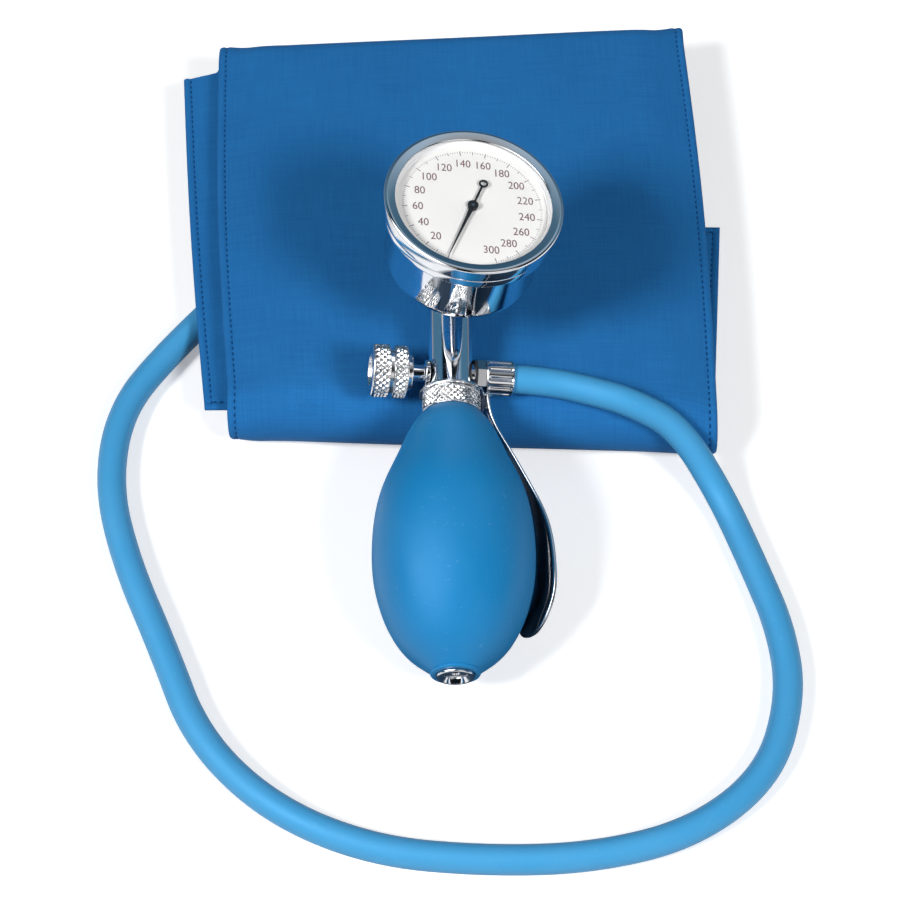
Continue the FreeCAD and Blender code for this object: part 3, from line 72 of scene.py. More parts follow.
def look_from(made, target, way, distance):
    """Put a camera or a lamp at a distance from its target along a direction, and aim it back."""
    made.location = target + way * distance
    made.rotation_mode = "QUATERNION"
    made.rotation_quaternion = (-way).to_track_quat("-Z", "Y")


camera = placed("camera", bpy.data.cameras.new("camera"))
camera.data.lens = camera.data.sensor_width * FOCAL_PIXELS / PICTURE_PIXELS
look_from(camera, AIM, Vector((0.0, -math.cos(CAMERA_RISE), math.sin(CAMERA_RISE))),
          CAMERA_DISTANCE)
bpy.context.scene.camera = camera
print("camera lens of", round(camera.data.lens, 1), "mm")

# %% [markdown]
# ## Frames of the handpiece
# The handpiece leans on the cuff, and the gauge leans back a little more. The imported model's joints
# tell both directions: the valve balls move along the valve body, the knob turns about its cross
# bore and the pointer about the gauge's axis. A frame is a 4 x 4 matrix with such directions as its
# columns. A piece is made upright about its own Z and then carried there.

# %% Frames from the joints
KNOB_PIVOT_REACH = 0.0235
POINTER_HEIGHT = 0.0456


def joint(name, key="axis"):
    """A joint's axis, or its place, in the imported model."""
    return np.array(next(one for one in frame["joints"] if one["name"] == name)[key])


def unit(vectors):
    """Directions of length one."""
    return vectors / np.linalg.norm(vectors, axis=-1, keepdims=True)


def frame_from(origin, x_axis, y_axis):
    """A frame from its origin and two directions; Z is X crossed with Y."""
    x_axis, z_axis = unit(x_axis), unit(np.cross(x_axis, y_axis))
    made = np.eye(4)
    made[:3] = np.column_stack([x_axis, np.cross(z_axis, x_axis), z_axis, origin])
    return made


def turned_to(axis, degrees):
    """A frame turned about X, Y or Z by the right-hand rule."""
    return np.array(Matrix.Rotation(math.radians(degrees), 4, axis))


def moved_by(x, y, z):
    """A frame moved along X, Y and Z."""
    return np.array(Matrix.Translation((x, y, z)))


out_left, to_gauge_end = joint("release_turn"), joint("outlet_ball_lift")
gauge_down, gauge_ahead = joint("pointer_spin"), joint("rocker_pivot")
HAND = frame_from(joint("release_turn", "pos_m") - out_left * KNOB_PIVOT_REACH, -out_left,
                  to_gauge_end)
GAUGE = frame_from(joint("pointer_spin", "pos_m") + gauge_down * POINTER_HEIGHT,
                   np.cross(gauge_down, gauge_ahead), gauge_ahead)
TO_GAUGE_END = HAND @ turned_to("X", -90)
TO_BULB_END = HAND @ turned_to("X", 90)
TO_LEFT = HAND @ turned_to("Y", -90)
TO_RIGHT = HAND @ turned_to("Y", 90)
print("valve body starts at", HAND[:3, 3], "gauge axis", -gauge_down)

# %% [markdown]
# ## The hose
# The hose is one soft rubber tube. It leaves the connector, dips over the front fold of the cuff,
# lies in a wide loop on the table and goes in under the cuff's middle layer. A NURBS curve of order
# three passes smoothly inside its control points, which is how a limp hose lies.

# %% Hose curve
HOSE_DIAMETER = 0.0094
HOSE_ROUTE = [
    (14.12, -72.50, 31.93), (25.96, -72.05, 30.04), (41.0, -76.4, 30.2), (52.5, -80.0, 29.4),
    (68.0, -84.4, 21.8), (82.0, -100.5, 5.6), (91.0, -127.0, 4.95), (98.0, -150.0, 4.95),
    (99.8, -174.0, 4.95), (91.5, -202.0, 4.95), (68.0, -222.0, 4.95), (37.0, -230.5, 4.95),
    (4.0, -231.5, 4.95), (-30.0, -228.0, 4.95), (-61.0, -213.5, 4.95), (-84.0, -189.0, 4.95),
    (-95.5, -158.0, 4.95), (-109.0, -126.0, 4.95), (-117.0, -96.0, 4.95), (-115.0, -66.0, 4.95),
    (-101.5, -43.0, 4.95), (-85.0, -22.3, 5.0),
]


def nurbs_curve(name, points, radius):
    """One open NURBS spline of order three with a round section, controlled by a list of points.

    Each point's own radius is the tube's and the bevel depth is one.
    """
    curve = bpy.data.curves.new(name, "CURVE")
    curve.dimensions = "3D"
    spline = curve.splines.new("NURBS")
    spline.points.add(len(points) - 1)
    spline.points.foreach_set("co", np.column_stack([points, np.ones(len(points))]).ravel())
    spline.order_u = 3
    spline.use_endpoint_u = True
    spline.resolution_u = 12
    spline.points.foreach_set("radius", np.full(len(spline.points), radius))
    curve.bevel_depth = 1.0
    curve.bevel_resolution = 8
    curve.use_fill_caps = True
    return placed(name, curve)


hose = nurbs_curve("rubber_hose", np.array(HOSE_ROUTE) / 1000, HOSE_DIAMETER / 2)
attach(hose, "set")
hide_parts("hose")

# %% [markdown]
# ## Shared effects for the finishes
# Several finishes need the same small effects, so each effect is one shader node group with named
# inputs: wear and handling marks for metal, a fine skin for rubber, and a plain weave for cloth.

# %% Node group helpers
SOCKET_KINDS = {1: "NodeSocketFloat", 3: "NodeSocketVector", 4: "NodeSocketColor"}


def new_group(name, outputs, **inputs):
    """An empty node group; a socket's kind follows from how many numbers its value has."""
    group = bpy.data.node_groups.new(name, "ShaderNodeTree")
    for way, sockets in (("INPUT", inputs), ("OUTPUT", outputs)):
        for label, value in sockets.items():
            group.interface.new_socket(
                label, in_out=way, socket_type=SOCKET_KINDS[np.size(value)]).default_value = value
    print("node group", name)
    start, end = group.nodes.new("NodeGroupInput"), group.nodes.new("NodeGroupOutput")
    return group, start.outputs, end.inputs


def feed(target, given):
    """Link a socket to an input or set its value; a colour of three numbers is made opaque."""
    if isinstance(given, bpy.types.NodeSocket):
        target.id_data.links.new(given, target)
    elif target.type == "RGBA":
        target.default_value = (*given[:3], 1.0)
    else:
        target.default_value = given


def add(tree, kind, inputs=None, **settings):
    """Add a node, set its properties and feed its inputs."""
    made = tree.nodes.new(kind)
    for label, setting in settings.items():
        setattr(made, label, setting)
    for label, given in (inputs or {}).items():
        feed(made.inputs[label], given)
    return made


# %% [markdown]
# A few nodes come back in every effect. Each gets a short function, so an effect reads much like
# the sentence that describes it.

# %% Pattern helpers
def calc(tree, operation, first, *others):
    """Math nodes in a chain over sockets and numbers; one value alone goes through one node."""
    for other in others or (0.0,):
        first = add(tree, "ShaderNodeMath", {0: first, 1: other}, operation=operation).outputs[0]
    return first


def noise(tree, vector, scale, detail=3.0, roughness=0.5):
    """A noise texture's value."""
    return add(tree, "ShaderNodeTexNoise", {"Vector": vector, "Scale": scale, "Detail": detail,
                                            "Roughness": roughness}).outputs["Fac"]


def remap(tree, value, low, high, to_low=0.0, to_high=1.0):
    """A value taken from one span to another and kept inside it."""
    return add(tree, "ShaderNodeMapRange", {"Value": value, "From Min": low, "From Max": high,
                                            "To Min": to_low, "To Max": to_high},
               clamp=True).outputs["Result"]


def mix_tones(tree, factor, first, second, blend="MIX"):
    """A mix of two tones by a factor; each tone is a colour or a socket."""
    return add(tree, "ShaderNodeMix", {0: factor, 6: first, 7: second}, data_type="RGBA",
               blend_type=blend).outputs[2]


def scaled(tree, vector, scale, turn=(0, 0, 0)):
    """A vector turned and scaled along its three directions."""
    return add(tree, "ShaderNodeMapping",
               {"Vector": vector, "Scale": scale, "Rotation": turn}).outputs["Vector"]


def parts_of(tree, vector):
    """The X, Y and Z of a vector."""
    return add(tree, "ShaderNodeSeparateXYZ", {"Vector": vector}).outputs


# %% [markdown]
# ### Handling marks
# Polished metal is never quite clean: fine hairline scratches run every way, and fingers leave
# broad dull patches. One noise, stretched long and thin, gives the hairlines, and a soft wide one
# gives the patches. The group puts out a roughness and a height.

# %% Handling marks group
marks, given, result = new_group("handling_marks", {"Roughness": 0.0, "Height": 0.0},
                                 Vector=(0, 0, 0), Polish=0.06, Dullness=0.12)
stretched = scaled(marks, given["Vector"], (1.0, 14.0, 3.0), (0.4, 0.7, 0.5))
hairlines = noise(marks, stretched, 900.0, 2.0)
patches = noise(marks, given["Vector"], 110.0, 4.0)
dull = calc(marks, "MULTIPLY", remap(marks, patches, 0.42, 0.68), given["Dullness"])
line_dull = calc(marks, "MULTIPLY", remap(marks, hairlines, 0.62, 0.75), 0.05)
feed(result["Roughness"], calc(marks, "ADD", given["Polish"], dull, line_dull))
feed(result["Height"], hairlines)

# %% [markdown]
# ### Rubber skin
# Moulded rubber has a very fine pebbled skin, slow changes of tone, and a pale bloom where wax
# comes to the surface.

# %% Rubber skin group
WAX_TONE = (0.25, 0.5, 0.75)
skin, given, result = new_group(
    "rubber_skin", {"Color": (0, 0, 0, 1), "Roughness": 0.0, "Height": 0.0},
    Vector=(0, 0, 0), Tone=(0.03, 0.2, 0.5, 1), Bloom=0.12)
slow = noise(skin, given["Vector"], 45.0)
specks = noise(skin, given["Vector"], 700.0, 2.0)
bloom_mask = calc(skin, "MULTIPLY", remap(skin, slow, 0.35, 0.75), given["Bloom"])
speck_mask = calc(skin, "MULTIPLY", remap(skin, specks, 0.66, 0.78), 0.16)
pale = calc(skin, "ADD", bloom_mask, speck_mask)
feed(result["Color"], mix_tones(skin, pale, given["Tone"], WAX_TONE))
feed(result["Roughness"], remap(skin, slow, 0.3, 0.7, 0.42, 0.56))
feed(result["Height"], noise(skin, given["Vector"], 2600.0, 2.0))

# %% [markdown]
# ### Plain weave
# The cuff's cloth is a fine plain weave: each thread goes over one and under the next. Two waves at
# right angles, multiplied, give that chequer of crowns. Threads also differ a little in thickness
# and dye, which a noise that is stretched along each thread gives. The group reads the cloth's own
# UV map, which is in metres along and across the strip.

# %% Plain weave group
weave, given, result = new_group(
    "plain_weave", {"Color": (0, 0, 0, 1), "Height": 0.0}, UV=(0, 0, 0), Threads=2200.0,
    Dark=(0.01, 0.08, 0.22, 1), Light=(0.03, 0.2, 0.48, 1))
directions = parts_of(weave, given["UV"])
waves, streaks = [], []
for axis, stretch in (("X", (60.0, 2200.0, 1.0)), ("Y", (2200.0, 60.0, 1.0))):
    phase = calc(weave, "MULTIPLY", directions[axis], given["Threads"], math.pi)
    waves.append(calc(weave, "SINE", phase))
    streaks.append(noise(weave, scaled(weave, given["UV"], stretch), 1.0, 2.0))
crowns = remap(weave, calc(weave, "MULTIPLY", *waves), -1.0, 1.0)
thread_tone = calc(weave, "ADD", *streaks)
wash = noise(weave, given["UV"], 28.0, 4.0)
tone = calc(weave, "ADD", *[calc(weave, "MULTIPLY", part, share) for part, share in (
    (crowns, 0.35), (thread_tone, 0.45), (wash, 0.35))])
dyed = mix_tones(weave, remap(weave, tone, 0.45, 1.15), given["Dark"], given["Light"])
feed(result["Color"], dyed)
feed(result["Height"], calc(weave, "ADD", crowns, thread_tone))

# %% [markdown]
# ## From effects to finishes
# Every finish is one Principled shader. It takes its tone, its roughness and its relief from the
# groups above, measured on the piece itself.

# %% Material helpers
def new_material(name, **sockets):
    """A node material, its tree and the inputs of its shader, some of which are set."""
    made = bpy.data.materials.new(name)
    made.use_nodes = True
    shader = made.node_tree.nodes["Principled BSDF"].inputs
    for label, given in sockets.items():
        feed(shader[label.replace("_", " ")], given)
    print("finish", name)
    return made, made.node_tree, shader


def place_group(tree, group, **given):
    """The outputs of a node group that is put into a material with its inputs."""
    return add(tree, "ShaderNodeGroup", given, node_tree=group).outputs


def add_bump(tree, shader, height, distance, strength):
    """Feed a height through a Bump node into the shader's normal."""
    bump = add(tree, "ShaderNodeBump",
               {"Height": height, "Distance": distance, "Strength": strength})
    feed(shader["Normal"], bump.outputs["Normal"])


def object_coordinates(tree):
    """The Object output of a Texture Coordinate node."""
    return add(tree, "ShaderNodeTexCoord").outputs["Object"]


def mottled(tree, mask, tone, share):
    """A tone that falls to a share of itself where the mask is one."""
    return mix_tones(tree, mask, tone, [channel * share for channel in tone])


# %% [markdown]
# ## Metals
# The case, the bezel and the fittings are brass with bright chrome plating. The movement inside is
# bare brass with some steel. All of them use the same handling marks with their own polish.

# %% Metal finishes
def metal(name, tone, polish, dullness, bump=0.2):
    """A metal with handling marks whose tone varies a little."""
    made, tree, shader = new_material(name, Metallic=1.0)
    where = object_coordinates(tree)
    worn = place_group(tree, marks, Vector=where, Polish=polish, Dullness=dullness)
    feed(shader["Base Color"], mottled(tree, noise(tree, where, 60.0), tone, 0.9))
    feed(shader["Roughness"], worn["Roughness"])
    add_bump(tree, shader, worn["Height"], 0.00001, bump)
    return made


CHROME = metal("chrome_plate", (0.86, 0.87, 0.89), 0.05, 0.07)
KNURLED_CHROME = metal("knurled_chrome", (0.86, 0.86, 0.86), 0.14, 0.10)
BRASS = metal("bare_brass", (0.80, 0.60, 0.30), 0.22, 0.16, 0.4)
STEEL = metal("bright_steel", (0.62, 0.63, 0.65), 0.20, 0.14, 0.4)

# %% [markdown]
# ## Rubber
# The bulb is a deeper blue than the hose, and the seals are black. All have the same fine skin. It
# is a little coarser on the bulb, which is moulded, than on the hose, which is drawn through a die.

# %% Rubber finishes
def rubber(name, tone, bloom, skin_depth):
    """A rubber: tone and bloom through the skin group, with a fine bump."""
    made, tree, shader = new_material(name)
    moulded = place_group(tree, skin, Vector=object_coordinates(tree), Tone=tone, Bloom=bloom)
    feed(shader["Base Color"], moulded["Color"])
    feed(shader["Roughness"], moulded["Roughness"])
    add_bump(tree, shader, moulded["Height"], skin_depth, 0.4)
    return made


BULB_RUBBER = rubber("bulb_rubber", (0.008, 0.188, 0.440), 0.04, 0.00006)
HOSE_RUBBER = rubber("hose_rubber", (0.050, 0.300, 0.580), 0.07, 0.00004)
BLACK_RUBBER = rubber("black_rubber", (0.012, 0.012, 0.013), 0.02, 0.00004)

# %% [markdown]
# ## Cloth
# The sleeve is tightly woven cotton and polyester, so it has a soft sheen at grazing angles. The
# hook and loop patches are piles: a dense noise stands for their small loops.

# %% Cloth finishes
def cloth(name, dark, light, threads, depth):
    """A woven cloth on the piece's UV map, with sheen on the shader itself."""
    made, tree, shader = new_material(
        name, Roughness=0.85, Specular_IOR_Level=0.2, Sheen_Weight=0.12, Sheen_Roughness=0.4,
        Sheen_Tint=(0.35, 0.65, 1.0))
    woven = place_group(tree, weave, UV=add(tree, "ShaderNodeUVMap").outputs["UV"],
                        Threads=threads, Dark=dark, Light=light)
    feed(shader["Base Color"], woven["Color"])
    add_bump(tree, shader, woven["Height"], depth, 0.4)
    return made


def pile(name, dark, light, scale):
    """A hook or loop pile: noise tufts that change both tone and height."""
    made, tree, shader = new_material(name, Roughness=0.9, Sheen_Weight=0.4)
    tufts = noise(tree, object_coordinates(tree), scale, 4.0, 0.7)
    feed(shader["Base Color"], mix_tones(tree, remap(tree, tufts, 0.3, 0.7), dark, light))
    add_bump(tree, shader, tufts, 0.0006, 0.8)
    return made


CLOTH = cloth("woven_cotton", (0.011, 0.098, 0.290), (0.021, 0.170, 0.440), 2000.0, 0.00012)
HOOK_PILE = pile("hook_pile", (0.004, 0.03, 0.09), (0.02, 0.12, 0.30), 1500.0)
LOOP_PILE = pile("loop_pile", (0.01, 0.06, 0.17), (0.03, 0.17, 0.40), 900.0)
THREAD = cloth("sewing_thread", (0.002, 0.036, 0.13), (0.006, 0.07, 0.21), 6000.0, 0.00005)

# %% [markdown]
# ## Dial paint, ink and glass
# The dial is matt white enamel, with its figures in dark red ink and its lines in a paler one. The
# packing, the pointer and the plastic port have coats of their own. The lens is thin clear glass,
# so a mix of a transparent and a glossy shader by Fresnel shows it without bending light.

# %% Dial finishes
def paint(name, tone, rough, speckle):
    """A printed or sprayed coat with very fine speckle and a slight orange-peel."""
    made, tree, shader = new_material(name, Roughness=rough)
    where = object_coordinates(tree)
    feed(shader["Base Color"], mottled(tree, noise(tree, where, 1800.0), tone, speckle))
    add_bump(tree, shader, noise(tree, where, 500.0, 2.0), 0.00003, 0.3)
    return made


DIAL_WHITE = paint("dial_enamel", (0.93, 0.92, 0.90), 0.45, 0.97)
DIAL_INK = paint("dial_ink", (0.19, 0.08, 0.09), 0.5, 0.8)
SCALE_INK = paint("scale_ink", (0.36, 0.30, 0.36), 0.5, 0.8)
PACKING_WHITE = paint("white_packing", (0.86, 0.86, 0.87), 0.5, 0.95)
POINTER_BLACK = paint("pointer_enamel", (0.006, 0.006, 0.007), 0.35, 0.8)
GREY_PLASTIC = paint("grey_plastic", (0.11, 0.12, 0.13), 0.45, 0.9)

LENS_GLASS, tree, _ = new_material("clear_lens")
tree.nodes.remove(tree.nodes["Principled BSDF"])
fresnel = add(tree, "ShaderNodeFresnel", {"IOR": 1.35}).outputs["Fac"]
front = calc(tree, "SUBTRACT", 1.0, add(tree, "ShaderNodeNewGeometry").outputs["Backfacing"])
pane = add(tree, "ShaderNodeMixShader", {
    0: calc(tree, "MULTIPLY", fresnel, front),
    1: add(tree, "ShaderNodeBsdfTransparent").outputs["BSDF"],
    2: add(tree, "ShaderNodeBsdfGlossy", {"Roughness": 0.02}).outputs["BSDF"]})
feed(tree.nodes["Material Output"].inputs["Surface"], pane.outputs["Shader"])

# %% [markdown]
# ## From a grid of points to a piece
# Every new surface is a grid: rows along a profile or path, columns round or across it. The four
# neighbours of each grid cell make a face. Where the grid closes on itself, its last row or column
# joins the first.

# %% Faces of a grid
def grid_faces(rows, columns, close_rows, close_columns):
    """Indices of a grid's quads, row by row, wrapped where the grid closes."""
    row = np.arange(rows if close_rows else rows - 1)[:, None]
    column = np.arange(columns if close_columns else columns - 1)[None, :]
    next_row, next_column = (row + 1) % rows, (column + 1) % columns
    corners = [row * columns + column, next_row * columns + column,
               next_row * columns + next_column, row * columns + next_column]
    return np.stack(np.broadcast_arrays(*corners), -1).reshape(-1, 4)


# %% [markdown]
# Points that fall on one spot, as at a pole, are merged, and the faces are turned outwards. The
# surface is smooth but for its sharp edges. The piece then rides the body that carries it and takes
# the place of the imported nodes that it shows.

# %% Finished piece
def finish_piece(name, points, faces, material, *nodes, body="set", slot=None, uv=None,
                 sharp=40.0):
    """Make a smooth mesh with its faces outwards and doubled points merged; it rides its body."""
    mesh = bpy.data.meshes.new(name)
    mesh.from_pydata(points.reshape(-1, 3), [], faces)
    if uv is not None:
        layer = mesh.uv_layers.new(name="UVMap")
        corner_points = np.empty(len(mesh.loops), np.int32)
        mesh.loops.foreach_get("vertex_index", corner_points)
        layer.data.foreach_set("uv", uv.reshape(-1, 2)[corner_points].ravel())
    working = bmesh.new()
    working.from_mesh(mesh)
    bmesh.ops.remove_doubles(working, verts=working.verts, dist=1e-7)
    bmesh.ops.recalc_face_normals(working, faces=working.faces)
    working.to_mesh(mesh)
    working.free()
    mesh.polygons.foreach_set("use_smooth", np.ones(len(mesh.polygons), bool))
    mesh.set_sharp_from_angle(angle=math.radians(sharp))
    mesh.materials.append(material)
    made = placed(name, mesh)
    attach(made, body)
    if nodes:
        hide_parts(*nodes)
    print(name, "of", len(mesh.polygons), "faces")
    return made


def carried(points, place):
    """Points of any array shape (..., 3) carried into a frame."""
    return points @ place[:3, :3].T + place[:3, 3]


def join_parts(parts):
    """Several (points, faces) pairs as one."""
    faces, offset = [], 0
    for points, part_faces in parts:
        faces += [tuple(index + offset for index in face) for face in part_faces]
        offset += len(points)
    return np.concatenate([points for points, _ in parts]), faces


# %% [markdown]
# ## Turned pieces
# Most of the metal parts come off a lathe, so one function makes them all: a profile of radius and
# height, with each corner rounded by an arc, is turned once round. A knurl is a small change of
# radius that depends on the angle and the height.

# %% Rounded profile
ROUND_STEPS = 5


def rounded(corners, closed=True):
    """A profile with arcs: each corner is (radius, height, rounding) in millimetres.

    The arc touches both sides at rounding / tan(half the corner's angle) from the corner, and its
    points follow from turning between the two touching directions.
    """
    corners = [tuple(corner) + (0.0,) * (3 - len(corner)) for corner in corners]
    points = []
    count = len(corners)
    for index, (radius, height, size) in enumerate(corners):
        here = np.array((radius, height))
        if size == 0 or (not closed and index in (0, count - 1)):
            points.append(here[None])
            continue
        back = unit(np.array(corners[index - 1][:2]) - here)
        ahead = unit(np.array(corners[(index + 1) % count][:2]) - here)
        half = math.acos(np.clip(back @ ahead, -1, 1)) / 2
        centre = here + unit(back + ahead) * size / math.sin(half)
        first = here + back * size / math.tan(half) - centre
        last = here + ahead * size / math.tan(half) - centre
        share = np.linspace(0, 1, ROUND_STEPS + 1)[:, None]
        sweep = math.pi - 2 * half
        points.append(centre + (np.sin((1 - share) * sweep) * first + np.sin(share * sweep) * last)
                      / math.sin(sweep))
    return np.concatenate(points) / 1000


# %% [markdown]
# The rounded profile is repeated at even angles round the axis, and these copies are the grid's
# columns. A knurl also needs many points up the profile, so there its long sides are divided.

# %% Lathe
TURN_STEPS = 160


def subdivided(profile, spacing):
    """A profile with extra points so that none of its straight steps is longer than the spacing."""
    parts = []
    for here, after in zip(profile, np.roll(profile, -1, 0)):
        count = max(1, int(np.linalg.norm(after - here) / spacing))
        parts.append(here + (after - here) * (np.arange(count) / count)[:, None])
    return np.concatenate(parts)


def lathe_points(profile, place, ripple=None, steps=TURN_STEPS):
    """Turn a profile: x = r cos a, y = r sin a, z = height, with r changed by ripple(r, z, a)."""
    angle = np.arange(steps) * 2 * np.pi / steps
    radius = np.repeat(profile[:, :1], steps, 1)
    height = np.repeat(profile[:, 1:], steps, 1)
    if ripple is not None:
        radius = radius + ripple(radius, height, np.broadcast_to(angle, radius.shape))
    return carried(np.stack([radius * np.cos(angle), radius * np.sin(angle), height], -1), place)


def turn_piece(name, corners, place, material, *nodes, body="set", slot="chrome", closed=True,
               spacing=None, ripple=None, steps=TURN_STEPS):
    """A turned piece from its profile's corners; an open profile starts and ends on the axis."""
    profile = rounded(corners, closed)
    if spacing:
        profile = subdivided(profile, spacing)
    points = lathe_points(profile, place, ripple, steps)
    faces = grid_faces(len(profile), steps, closed, True)
    return finish_piece(name, points, faces, material, *nodes, body=body, slot=slot)


# %% [markdown]
# ## Gauge case and bezel
# The case is drawn brass: a deep cup with a rounded bottom and a flange where the bezel seats. The
# bezel is a spun ring with a soft outer edge and a polished flat face, and a dark line shows where
# the two meet.

# %% Case and bezel
turn_piece("gauge_case_shell", [
    (4.05, 16.9), (24.6, 16.9, 4.5), (24.6, 39.6, 0.6), (27.9, 39.6, 0.8), (27.9, 43.1, 0.5),
    (26.5, 43.1, 0.1), (26.5, 47.3), (25.75, 47.3), (25.75, 44.2), (23.5, 44.2), (23.4, 42.0),
    (23.4, 18.1, 1.3), (4.05, 18.1),
], GAUGE, CHROME, "gauge_case")
turn_piece("bezel_spun_ring", [
    (26.6, 43.5, 0.1), (28.5, 43.5, 0.5), (28.5, 48.3, 0.9), (27.3, 48.45, 0.4), (25.0, 47.95, 0.2),
    (24.75, 47.6, 0.1), (24.9, 47.5), (26.6, 47.5),
], GAUGE, CHROME, "bezel_ring")

# %% [markdown]
# ## Lens
# The lens is slightly domed. Its height above the rim falls with the square of the radius.

# %% Lens
LENS_RADIUS, LENS_BASE = 25.7, 46.45
LENS_TOP, LENS_EDGE = 47.45, 0.96
LENS_DOME = 0.6
share = np.linspace(0, 1, 14)
upper = np.column_stack([share * LENS_RADIUS * LENS_EDGE,
                         LENS_TOP + LENS_DOME * (1 - share ** 2)])
turn_piece("domed_lens", [*upper, (LENS_RADIUS, LENS_BASE), (0.0, LENS_BASE)], GAUGE, LENS_GLASS,
           "gauge_lens", slot="lens", closed=False)

# %% [markdown]
# ## Lens packing
# A white ring holds the lens and the dial apart. Its inner side slopes down to the dial, and a
# shallow step runs round it.

# %% Lens packing
turn_piece("lens_packing_ring", [
    (25.65, 44.9), (25.65, 46.35), (25.2, 46.35, 0.15), (24.6, 45.6, 0.1), (24.45, 45.6),
    (23.9, 44.9, 0.1),
], GAUGE, PACKING_WHITE, "lens_packing", slot="white_rubber")

# %% [markdown]
# ## Dial
# The dial plate is a thin enamelled disc with a hole for the arbor.

# %% Dial plate
turn_piece("enamelled_dial", [(1.5, 44.2), (25.7, 44.2), (25.7, 44.8, 0.1), (1.5, 44.8, 0.1)],
           GAUGE, DIAL_WHITE, "dial_plate", slot="dial_paint")

# %% [markdown]
# ### Scale
# The scale runs clockwise from zero near the bottom to 300 millimetres of mercury. Lines mark every
# ten units and fine dots the twos between. The print stands a hair above the enamel.

# %% Scale marks
ZERO_TURN, FULL_TURN = 22.4, 342.4
FULL_READING = 300
PRINT_LEVEL = 0.04483
SCALE_RADIUS = 0.0218


def dial_angle(reading):
    """Direction of a reading in radians: clockwise from straight down, seen from the front."""
    turn = ZERO_TURN + (FULL_TURN - ZERO_TURN) * np.asarray(reading, float) / FULL_READING
    return -np.pi / 2 - np.radians(turn)


def mark_bars(readings, inner, outer, width):
    """Flat bars along the radius: four points each, from the inner to the outer radius."""
    angle = dial_angle(readings)[:, None]
    along = SCALE_RADIUS + np.array([inner, outer, outer, inner])
    side = np.array([-width, -width, width, width]) / 2
    x = along * np.cos(angle) - side * np.sin(angle)
    y = along * np.sin(angle) + side * np.cos(angle)
    return np.stack([x, y, np.full_like(x, PRINT_LEVEL)], -1).reshape(-1, 3)


twenties = np.arange(0, FULL_READING + 1, 20)
tens = np.arange(10, FULL_READING, 20)
twos = np.array([r for r in range(0, FULL_READING + 1, 2) if r % 10])
bars = np.concatenate([mark_bars(twenties, -0.0011, 0.0007, 0.00034),
                       mark_bars(tens, -0.0006, 0.0006, 0.00026),
                       mark_bars(twos, 0.0, 0.00045, 0.00022)])
finish_piece("scale_marks", carried(bars, GAUGE), np.arange(len(bars)).reshape(-1, 4), SCALE_INK,
             slot="dial_paint")

# %% [markdown]
# ### Figures
# The figures stand upright at every twentieth unit, as dials of this kind have them. Each is the
# flat outline of a number, made a little narrower and set round the dial's centre.

# %% Figures
FIGURE_RADIUS = 0.0174
FIGURE_SIZE = 0.0042
FIGURE_NARROWING = (0.84, 1.0, 1.0)


def figure_mesh(words):
    """A number's outline as flat mesh data, centred on the origin."""
    curve = bpy.data.curves.new("figure", "FONT")
    curve.body, curve.size, curve.resolution_u = words, FIGURE_SIZE, 4
    curve.align_x, curve.align_y = "CENTER", "CENTER"
    mesh = placed("figure", curve).to_mesh()
    points = np.array([vertex.co for vertex in mesh.vertices])
    faces = [tuple(face.vertices) for face in mesh.polygons]
    bpy.data.curves.remove(curve)
    return points, faces


figures = []
for reading in twenties[1:]:
    points, faces = figure_mesh(str(reading))
    angle = dial_angle(reading)
    centre = (FIGURE_RADIUS * np.cos(angle), FIGURE_RADIUS * np.sin(angle), PRINT_LEVEL)
    figures.append((points * FIGURE_NARROWING + centre, faces))
points, faces = join_parts(figures)
finish_piece("scale_figures", carried(points, GAUGE), faces, DIAL_INK, slot="dial_paint")

# %% [markdown]
# ## Pointer
# The pointer is a stamped strip: a thin tapered needle, a hub, and a ring behind the hub that
# balances it. Each outline is worked out flat and pushed down to a thin plate.

# %% Pointer
POINTER_THICK = 0.0003
TAIL_RING, TAIL_CENTRE = (0.0009, 0.0015), (0.0, 0.0098)
HUB = (0.0001, 0.0017)


def plate(outline, low, high):
    """Points and faces of a flat plate between two heights from its outline (count, 2)."""
    count = len(outline)
    points = np.concatenate([np.column_stack([outline, np.full(count, z)]) for z in (low, high)])
    index = np.arange(count)
    after = (index + 1) % count
    walls = np.stack([index, after, after + count, index + count], -1).tolist()
    return points, [range(count), range(count, 2 * count), *walls]


def rectangle(x_low, y_low, x_high, y_high):
    """A rectangle's outline in metres, from two opposite corners in millimetres."""
    return np.array([(x_low, y_low), (x_high, y_low), (x_high, y_high), (x_low, y_high)]) / 1000


def hoop(inner, outer, low, high, centre, steps=48):
    """A flat ring: a four-corner profile turned round its own centre."""
    profile = np.array([(inner, low), (outer, low), (outer, high), (inner, high)])
    points = lathe_points(profile, moved_by(*centre, 0.0), steps=steps).reshape(-1, 3)
    return points, grid_faces(4, steps, True, True)


needle = np.array([(-0.85, 0.3), (-0.48, -6.0), (-0.13, -21.6), (0.13, -21.6), (0.48, -6.0),
                   (0.85, 0.3)]) / 1000
pointer_points, pointer_faces = join_parts([
    plate(needle, 0.0, POINTER_THICK),
    plate(rectangle(-0.36, 0.5, 0.36, 8.6), 0.0, POINTER_THICK),
    hoop(*TAIL_RING, 0.0, POINTER_THICK, TAIL_CENTRE),
    hoop(*HUB, 0.0, 2 * POINTER_THICK, (0.0, 0.0))])
pointer_place = GAUGE @ moved_by(0, 0, POINTER_HEIGHT) @ turned_to("Z", -ZERO_TURN)
finish_piece("stamped_pointer", carried(pointer_points, pointer_place), pointer_faces,
             POINTER_BLACK, "pointer", body="pointer_set", slot="pointer_paint")

# %% [markdown]
# ## Valve body
# The body is a turned bar with soft, polished ends. A short boss on its top carries the gauge's
# stem, and a hexagonal nut locks the gauge. Two extra points on the bar's straight side keep the
# shading of its rounded ends from spreading along it.

